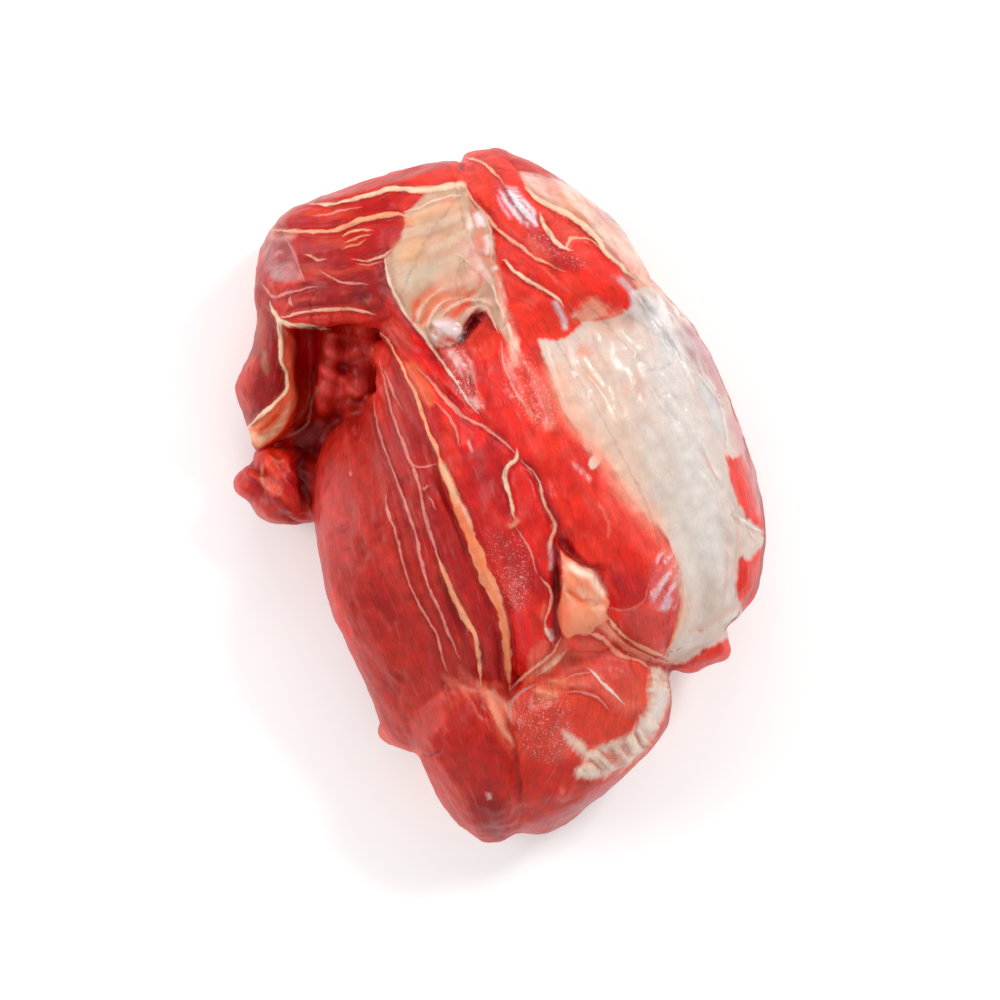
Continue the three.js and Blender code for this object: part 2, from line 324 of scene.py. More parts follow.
def muscleMesh(muscle, firstIndex):
    sides, rings = meshing["sides"], meshing["rings"]
    blunt = muscle.get("blunt", roundness["blunt"])
    full = muscle.get("full", roundness["full"])
    stations = np.array(muscle["stations"], float)
    t = (1 - np.cos(np.pi * np.arange(rings + 1) / rings)) / 2
    low = curveThrough(stations[:, [0, 1, 5]], t)
    high = curveThrough(stations[:, 2:5], t)
    middle = (low + high) / 2
    half = high - middle
    drawIn = np.maximum(0, 1 - np.abs(2 * t - 1) ** blunt) ** (1 / blunt)
    angle = 2 * np.pi * np.arange(sides) / sides
    c, s = np.cos(angle), np.sin(angle)
    section = (np.abs(c) ** full + np.abs(s) ** full) ** (-1 / full)
    waves = sum(np.sin(around * (angle[None] + stations[0, 0]) + along * t[:, None])
                for around, along in roundness["waves"])
    reach = drawIn[:, None] * section[None] * (1 + roundness["uneven"] * waves)
    x = middle[:, :1] + half[:, :1] * c * reach
    y = middle[:, 1:2] + half[:, 1:2] * c * reach
    z = middle[:, 2:] + half[:, 2:] * s * reach
    body = np.stack([x, y, z], axis=2)[1:-1].reshape(-1, 3)
    points = np.vstack([middle[:1], body, middle[-1:]]) * mm
    last = firstIndex + len(points) - 1
    faces = []
    for side in range(sides):
        after = (side + 1) % sides
        faces.append((firstIndex, firstIndex + 1 + after, firstIndex + 1 + side))
        top = last - sides
        faces.append((last, top + side, top + after))
        for ring in range(rings - 2):
            here = firstIndex + 1 + ring * sides
            faces.append((here + side, here + after, here + sides + after, here + sides + side))
    return points, faces


def newObject(name, points, faces):
    mesh = bpy.data.meshes.new(name)
    mesh.from_pydata([tuple(p) for p in points], [], faces)
    mesh.update()
    made = bpy.data.objects.new(name, mesh)
    bpy.context.scene.collection.objects.link(made)
    return made


def musclesAsOne(name, *groups):
    points, faces, count = [], [], 0
    for group in groups:
        for muscle in group.values():
            more, joins = muscleMesh(muscle, count)
            points.append(more)
            faces += joins
            count += len(more)
    return newObject(name, np.vstack(points), faces)


def apply(thing, kind, **settings):
    step = thing.modifiers.new(kind, kind)
    for name, value in settings.items():
        setattr(step, name, value)
    shown = bpy.context.evaluated_depsgraph_get()
    shown.update()
    made = bpy.data.meshes.new_from_object(thing.evaluated_get(shown))
    old = thing.data
    thing.modifiers.clear()
    thing.data = made
    bpy.data.meshes.remove(old)
    return thing


def remesh(thing, size):
    return apply(thing, "REMESH", mode="VOXEL", voxel_size=size, adaptivity=0)


def numbersOf(items, field):
    flat = np.empty(len(items) * 3, np.float32)
    items.foreach_get(field, flat)
    return flat.reshape(-1, 3).astype(float)


def pointsOf(thing):
    return numbersOf(thing.data.vertices, "co")


def normalsOf(thing):
    return numbersOf(thing.data.vertex_normals, "vector")


def setPoints(thing, points):
    thing.data.vertices.foreach_set("co", points.astype(np.float32).ravel())
    thing.data.update()


def restOnFloor(thing):
    points = pointsOf(thing)
    points[:, 2] = np.maximum(points[:, 2], 0)
    setPoints(thing, points)


def removed(thing):
    mesh = thing.data
    bpy.data.objects.remove(thing)
    bpy.data.meshes.remove(mesh)


def carve():
    body = remesh(musclesAsOne("meat", masses, bundles), meshing["join"])
    cut = remesh(musclesAsOne("cut", hollows), meshing["join"])
    apply(body, "BOOLEAN", operation="DIFFERENCE", solver="MANIFOLD", object=cut)
    removed(cut)
    laid = musclesAsOne("laid", loose)
    added = len(pointsOf(body))
    points = np.vstack([pointsOf(body), pointsOf(laid)])
    faces = [tuple(p.vertices) for p in body.data.polygons]
    faces += [tuple(v + added for v in p.vertices) for p in laid.data.polygons]
    removed(body)
    removed(laid)
    whole = remesh(newObject("meat", points, faces), meshing["join"])
    apply(whole, "SMOOTH", factor=0.5, iterations=meshing["soften"])
    restOnFloor(whole)
    remesh(whole, meshing["final"])
    apply(whole, "SMOOTH", factor=0.5, iterations=meshing["polish"])
    return whole


meat = carve()
print("meat joined:", len(meat.data.vertices), "points")


# Relief and colour, placed by where they show in the picture

tints = {
    # The next tint is the painted shade laid beside grooved seams.
    "deep": (140, 18, 20),
    "dark": (160, 36, 36),
    "red": (196, 50, 44),
    "cream": (238, 206, 174),
    "white": (240, 226, 214),
    "peach": (238, 176, 146),
    "orange": (240, 136, 96),
    "orangeCream": (242, 172, 132),
    "pinkFilm": (222, 140, 130),
    "greyPink": (196, 140, 140),
    "lilac": (224, 204, 212),
    # The next tint is painted shade, laid into the creases and the deep places.
    "paintedShade": (64, 4, 5),
}

# The seams of fascia between muscles: tint, width in mm at the start, the middle and the end,
# lift and groove as heights in mm, step and line. step raises the left of the line's travel,
# which is the picture's right for a line that runs down.
seams = {
    "archFar": ("cream", (0.7, 1.4, 1.6), 0.4, 0.6, 0, [309, 204, 328, 204, 350, 200, 370, 195, 392, 189,
        412, 190, 430, 190, 450, 187, 462, 185]),
    "archThread": ("pinkFilm", (0.4, 0.6, 0.3), 0.1, 0.2, 0, [314, 216, 326, 215, 340, 211, 361, 207]),
    "archMiddle": ("orangeCream", (1, 1.7, 1.8), 0.5, 0.8, 0, [273, 230, 300, 231, 332, 231, 347, 225,
        360, 220, 372, 218, 384, 215, 396, 214, 406, 216]),
    "archNear": ("peach", (0.4, 0.9, 0.7), 0.3, 0.5, 0, [353, 259, 368, 260, 382, 256, 391, 250]),
    "archSecond": ("pinkFilm", (0.3, 0.6, 0.3), 0.1, 0.1, 0, [358, 264, 370, 264, 382, 261]),
    "archLow": ("peach", (0.4, 1.1, 0.3), 0.2, 0.2, 0, [306, 255, 313, 257, 318, 260, 325, 259]),
    "archLower": ("pinkFilm", (0.3, 0.8, 0.4), 0.2, 0.4, 0, [321, 271, 334, 279, 342, 282, 351, 283,
        367, 284]),
    "membraneEdge": ("pinkFilm", (0.5, 1.1, 0.4), 0.4, 0.5, 0, [261, 283, 266, 289, 271, 295, 276, 297,
        288, 293, 300, 290, 316, 286]),
    "membraneDrop": ("pinkFilm", (0.6, 1.1, 0.5), 0.2, 0.1, 0, [290, 297, 290, 301, 293, 306]),
    "lipTop": ("peach", (1.2, 1, 0.7), 0.4, 0.6, 0, [283, 317, 290, 316, 297, 313, 309, 311, 323, 310,
        344, 309, 361, 311, 374, 314]),
    "lipEdge": ("cream", (1.8, 1.6, 0.4), 0.3, 0, 1.2, [279, 320, 290, 324, 303, 326, 313, 327, 330, 330]),
    "flapCrest": ("cream", (1.6, 1.1, 1.6), 1.3, 0.3, 0, [270, 303, 271, 308, 278, 320, 280, 332, 281, 351,
        281, 362, 286, 373, 287, 386, 284, 394, 276, 402, 265, 412, 254, 421, 247, 428]),
    "pocketThread": ((190, 118, 96), (0.9, 0.9, 0.6), 0.8, 0.3, 0, [316, 363, 315, 373, 313, 384, 318, 389,
        312, 399, 310, 412, 307, 423, 299, 431, 287, 436, 278, 441]),
    "leafFirst": ("pinkFilm", (0.4, 1, 0.7), 0.35, 0.6, 0.8, [374, 392, 375, 412, 380, 434, 386, 452,
        393, 471, 401, 491, 410, 518, 417, 538, 420, 556, 428, 585, 439, 608, 447, 629, 453, 644,
        459, 658]),
    "leafSecond": ("pinkFilm", (0.5, 0.9, 1.1), 0.35, 0.6, 0.9, [380, 362, 383, 376, 388, 397, 393, 416,
        402, 441, 410, 461, 417, 480, 422, 500, 425, 517, 432, 538, 439, 559]),
    "leafSecondLow": ("orangeCream", (0.8, 2.2, 0.9), 0.6, 0.8, 0.8, [436, 550, 439, 559, 446, 578,
        456, 600, 466, 621, 475, 635, 478, 652, 480, 670, 481, 685]),
    "leafBranch": ("pinkFilm", (0.3, 0.6, 0.3), 0.1, 0.2, 0, [383, 368, 390, 384, 396, 399, 402, 409]),
    "leafThin": ("pinkFilm", (1, 0.6, 0.7), 0.25, 0.5, 0.5, [386, 496, 387, 510, 394, 527, 399, 545,
        404, 566, 411, 587, 420, 606, 428, 620, 437, 635, 442, 656, 447, 671]),
    "leafCross": ("pinkFilm", (0.4, 0.7, 0.4), 0.2, 0, 0, [409, 462, 416, 467, 426, 467, 436, 464]),
    "leafSide": ("pinkFilm", (0.8, 0.6, 0.3), 0.2, 0, 0, [430, 498, 433, 502, 435, 508]),
    "mainStripTop": ("orangeCream", (0.7, 1.1, 1.6), 0.7, 1.1, 1.1, [377, 330, 389, 342, 398, 359, 408, 380,
        416, 394, 422, 413, 429, 432, 436, 447, 441, 460]),
    "mainStrip": ((238, 158, 116), (1.8, 4.2, 2), 0.9, 1.2, 1, [439, 455, 442, 468, 449, 484, 456, 502,
        464, 521, 473, 545, 482, 569, 495, 597, 504, 621, 507, 647, 508, 673, 510, 688]),
    "tendonEdge": ((238, 208, 188), (0.8, 1, 0.5), 0.6, 0.7, 0, [385, 258, 387, 272, 391, 286, 397, 298,
        406, 315, 420, 331, 430, 345, 438, 357, 450, 373, 461, 389, 468, 402, 478, 412]),
    "rootThread": ("pinkFilm", (0.4, 0.9, 0.7), 0.3, 0.6, 0, [419, 369, 433, 383, 443, 395, 454, 406,
        464, 416, 473, 423, 485, 427, 495, 435, 507, 444, 515, 453]),
    "mainFold": ("pinkFilm", (0.4, 0.8, 0.4), 0.2, 0.4, 0, [436, 402, 448, 416, 456, 430, 459, 446]),
    "crownLeft": ("peach", (0.7, 1.2, 0.6), 0.3, 0.8, 0, [463, 183, 470, 196, 477, 205, 486, 214, 493, 225,
        501, 232, 512, 240, 524, 249, 536, 258, 553, 266, 564, 271]),
    "crownTip": ("peach", (0.6, 0.9, 0.4), 0.2, 0.4, 0, [467, 158, 476, 160, 484, 164, 488, 167, 498, 176,
        503, 184]),
    "crownPatch": ("cream", (0.6, 1.4, 1.4), 0.3, 0.3, 0, [548, 234, 553, 240, 562, 247, 570, 250]),
    "crownArch": ("peach", (2, 1, 0.5), 0.3, 0.3, 0, [566, 248, 569, 241, 572, 238, 584, 238, 593, 242,
        598, 247]),
    "crownRidge": ("cream", (1, 1.9, 0.7), 0.7, 0.5, 0, [526, 188, 533, 195, 546, 204, 567, 214, 584, 226,
        598, 240, 607, 254, 617, 262, 640, 284]),
    "crownLow": ("cream", (1.4, 1.1, 0.6), 0.3, 0.7, 0.6, [504, 260, 509, 266, 515, 272, 527, 280, 545, 290,
        558, 299, 563, 306]),
    "slenderLeft": ("cream", (1.3, 1.5, 1), 0.6, 0.7, 0, [517, 451, 516, 459, 507, 468, 505, 482, 510, 496,
        512, 506, 514, 518]),
    "slenderThread": ("pinkFilm", (0.5, 0.6, 0.3), 0.2, 0.2, 0, [517, 528, 521, 535, 527, 545, 532, 555,
        537, 575]),
    "slenderRight": ("peach", (0.4, 1, 1.3), 0.4, 0.6, 0, [521, 461, 528, 467, 534, 473, 540, 484, 544, 501,
        550, 515, 555, 524, 552, 538, 549, 552]),
    "slenderTip": ((238, 160, 140), (0.8, 0.8, 0.6), 0.4, 0.5, 0, [541, 578, 548, 586, 552, 597, 549, 610,
        545, 624, 548, 634, 553, 644]),
    "shoulderUpper": ((240, 176, 146), (0.8, 1.3, 1), 0.4, 0.2, 0, [607, 616, 620, 632, 636, 644, 652, 652,
        672, 660, 682, 662]),
    "shoulderLower": ((238, 156, 130), (1.6, 1.5, 0.7), 0.4, 0.25, 0, [590, 633, 604, 640, 616, 652,
        626, 657, 640, 661, 650, 668]),
    "headTop": ((240, 178, 152), (0.7, 1, 0.7), 0.5, 0.4, 0, [512, 688, 522, 678, 534, 668, 548, 658,
        556, 648, 560, 640]),
    "headLine": ("pinkFilm", (0.4, 0.8, 0.4), 0.2, 0.4, 0, [568, 692, 580, 692, 590, 694, 600, 700,
        610, 712]),
    "headSlant": ("white", (0.6, 1, 0.6), 0.3, 0.2, 0, [590, 669, 597, 676, 604, 684, 614, 694, 624, 703]),
    "headRim": ("greyPink", (0.8, 1.2, 0.6), 0.3, 0, 0, [536, 684, 521, 692, 512, 701, 509, 712, 512, 724]),
    "broadRing": ((226, 110, 96), (0.5, 0.8, 0.5), 0.2, 0.2, 0, [610, 608, 628, 610, 644, 601, 648, 588]),
    "broadRight": ("orange", (0.8, 1.3, 0.8), 0.3, 0.3, 0, [684, 584, 683, 602, 680, 616, 675, 632,
        668, 648]),
    "speckledEdge": ("pinkFilm", (0.6, 0.7, 0.4), 0.2, 0.3, 0, [501, 342, 504, 366, 511, 382, 519, 397,
        533, 414, 550, 421]),
    "silverStreak": ((240, 226, 220), (0.5, 0.6, 0.4), 0.4, 0.4, 0, [648, 384, 660, 402, 676, 424, 692, 446,
        702, 462, 712, 478, 722, 496]),
    "silverMark": ((228, 140, 116), (0.4, 1, 0.6), 0.2, 0.3, 0, [702, 452, 710, 466, 714, 474, 718, 481]),
    "archFan": ((232, 180, 134), (0.5, 0.8, 0.7), 0.3, 0.1, 0, [343, 235, 350, 232, 360, 230, 372, 230]),
    "archFanSecond": ((226, 168, 122), (0.4, 0.7, 0.5), 0.3, 0.1, 0, [346, 242, 354, 239, 362, 236,
        369, 235]),
    "archFanThird": ((222, 150, 108), (0.4, 0.6, 0.4), 0.3, 0.1, 0, [343, 249, 351, 246, 358, 244,
        365, 240]),
    "tendonCord": ((242, 206, 190), (0.6, 1.1, 0.7), 0.7, 0.4, 0, [458, 254, 466, 260, 476, 269, 486, 277,
        493, 286, 497, 300, 505, 318, 512, 336]),
    "tendonRight": ((240, 186, 170), (0.5, 0.9, 0.6), 0.5, 0.5, 0, [472, 199, 480, 210, 487, 220, 491, 234,
        492, 250, 491, 262]),
    "swirlOne": ((240, 176, 152), (0.6, 1.1, 0.6), 0.5, 0.5, 0, [418, 326, 421, 312, 427, 300, 437, 292,
        450, 288]),
    "swirlTwo": ((238, 188, 164), (0.6, 1, 0.6), 0.5, 0.5, 0, [428, 332, 430, 318, 438, 306, 450, 299,
        464, 297]),
    "swirlThree": ((242, 200, 178), (0.8, 1.2, 0.8), 0.6, 0.5, 0, [442, 316, 449, 308, 458, 303, 470, 300,
        482, 300, 490, 304]),
    "swirlRim": ((244, 190, 168), (0.6, 1, 0.5), 0.5, 0.4, 0, [462, 318, 468, 310, 478, 306, 487, 309,
        492, 318, 498, 332]),
    "archTop": ((240, 204, 184), (0.5, 0.7, 0.5), 0.4, 0.3, 0, [405, 212, 420, 207, 436, 200, 450, 196,
        466, 196]),
    "silverRidgeOne": ((244, 238, 234), (0.5, 0.8, 0.5), 0.5, 0.5, 0, [640, 300, 655, 325, 668, 350,
        676, 372]),
    "silverRidgeTwo": ((240, 234, 232), (0.5, 0.8, 0.5), 0.5, 0.5, 0, [650, 305, 668, 330, 682, 356,
        692, 382, 700, 400]),
    "silverRidgeThree": ((232, 214, 214), (0.5, 0.6, 0.4), 0.4, 0.5, 0, [662, 302, 680, 328, 694, 352,
        704, 376]),
    "silverRidgeFour": ((226, 186, 188), (0.4, 0.6, 0.4), 0.4, 0.5, 0, [674, 316, 690, 338, 702, 358,
        712, 380]),
    "silverStreakSecond": ((238, 226, 222), (0.4, 0.5, 0.4), 0.4, 0.4, 0, [655, 372, 672, 398, 688, 420,
        700, 440, 708, 456]),
    "silverFilm": ((236, 228, 230), (0.4, 0.7, 0.5), 0.4, 0.4, 0, [700, 368, 712, 384, 721, 404, 726, 428,
        728, 452]),
    "silverLeftThread": ((246, 218, 202), (0.6, 0.9, 0.6), 0.4, 0.3, 0, [547, 346, 553, 366, 560, 388,
        568, 410]),
    "silverLowThread": ((244, 190, 168), (0.5, 0.8, 0.5), 0.3, 0.2, 0, [628, 480, 642, 498, 656, 516,
        668, 536, 676, 560]),
    "headTopSecond": ((238, 186, 162), (0.6, 1.2, 0.7), 0.4, 0.3, 0, [538, 674, 548, 668, 558, 660,
        566, 650]),
    "headArc": ((230, 140, 124), (0.4, 0.6, 0.4), 0.2, 0.4, 0, [566, 678, 574, 675, 584, 673, 592, 672]),
    "shoulderThird": ((238, 140, 112), (0.6, 1.1, 0.6), 0.3, 0.15, 0, [600, 620, 610, 634, 624, 646,
        640, 656, 656, 662]),
    "membraneRight": ((226, 132, 128), (0.4, 0.6, 0.5), 0.3, 0.2, 0, [287, 240, 292, 248, 297, 262,
        302, 274, 304, 280]),
    "shoulderFourth": ((240, 150, 124), (0.5, 1, 0.6), 0.3, 0.15, 0, [606, 624, 618, 638, 634, 650,
        652, 658, 672, 664]),
    "shoulderJoin": ((240, 176, 140), (0.8, 1, 0.7), 0.3, 0.3, 0, [684, 606, 680, 622, 674, 638, 668, 650,
        664, 660]),
    "tabFoldOne": ((246, 236, 232), (0.4, 0.6, 0.4), 0.5, 0.6, 0, [732, 512, 742, 520, 752, 527, 762, 532]),
    "tabFoldTwo": ((240, 206, 200), (0.4, 0.5, 0.4), 0.4, 0.5, 0, [730, 502, 736, 514, 746, 528, 758, 542]),
    "mainFoldBeads": ((244, 168, 150), (0.6, 1, 0.5), 0.5, 0.3, 0, [428, 378, 440, 394, 452, 407, 463, 417,
        474, 422, 486, 429, 497, 437, 508, 446]),
    "crownWedge": ("cream", (0.6, 1.7, 1.2), 0.5, 0.4, 0, [540, 214, 545, 226, 551, 236, 558, 243,
        566, 249]),
}

# Creases with no fascia in them: width and depth in mm, how much painted shade lies in them, and line.
creases = {
    "archNotch": (1, 0.4, 0.5, [462, 160, 461, 166, 463, 173]),
    "gap": (1, 1.4, 0.3, [470, 374, 471, 386, 475, 396]),
    "middleGroove": (1.5, 1.5, 0.4, [520, 460, 530, 467, 538, 478, 546, 500, 556, 520, 562, 538, 572, 556]),
    "fatGroove": (1.3, 2, 0.6, [554, 556, 556, 580, 556, 605, 557, 628, 557, 648]),
    "broadEnd": (1.3, 2.2, 0.6, [560, 534, 566, 544, 576, 557, 588, 566, 599, 571, 601, 586, 609, 601]),
    "headGroove": (0.6, 0.7, 0.35, [508, 704, 506, 714, 510, 730, 515, 745, 517, 768, 520, 786, 521, 806]),
    "leftHeadGroove": (1.8, 1, 0.3, [487, 776, 488, 790, 496, 812]),
    "bellyAcross": (1.3, 0.6, 0.25, [326, 541, 338, 532, 352, 524]),
    "bellyShort": (1.3, 0.7, 0.35, [356, 537, 361, 547, 365, 560]),
    "bellySecond": (1.6, 0.6, 0.25, [375, 524, 380, 534, 381, 545]),
    "bellyBroad": (2.6, 0.8, 0.28, [374, 588, 382, 604, 390, 617, 397, 628]),
    "bellyLow": (2.4, 0.6, 0.25, [380, 682, 392, 690, 404, 692]),
    "bellyLower": (2, 0.5, 0.2, [398, 672, 406, 684]),
    "bellyRoot": (1.2, 1.2, 0.5, [336, 404, 346, 398, 358, 402, 368, 398]),
    "bellyVertical": (1.4, 0.5, 0.15, [342, 474, 344, 495, 346, 520]),
    "tabNotch": (0.8, 0.8, 0.4, [419, 755, 430, 756, 442, 750]),
    "fatCrease": (0.8, 1.2, 0.1, [563, 588, 571, 593, 580, 601, 592, 603, 606, 608]),
    "lobeFold": (1.2, 1.4, 0.3, [262, 462, 262, 482, 270, 490]),
    "lobeFoldTop": (1.2, 1.2, 0.3, [272, 458, 280, 464, 284, 474]),
    "lobeFoldLow": (1.3, 1.2, 0.3, [278, 494, 284, 506, 292, 512]),
    "lobeSide": (2, 2, 0.5, [298, 452, 302, 470, 304, 492, 308, 510]),
    "mainSplit": (1, 0.8, 0.3, [424, 368, 440, 384, 456, 402, 466, 412]),
    "panelShade": (2.4, 0.6, 0.45, [432, 565, 440, 582, 450, 600, 462, 618, 470, 640]),
    "panelPurple": (1.6, 0.5, 0.35, [493, 648, 495, 664, 495, 684]),
    "fatCreaseUp": (0.9, 0.8, 0.05, [572, 574, 579, 588, 583, 599]),
    "slenderDark": (0.9, 1.6, 0.5, [556, 540, 557, 556, 556, 576, 558, 596]),
    "archBelowDark": (2, 0.5, 0.35, [352, 292, 362, 298, 372, 300]),
}
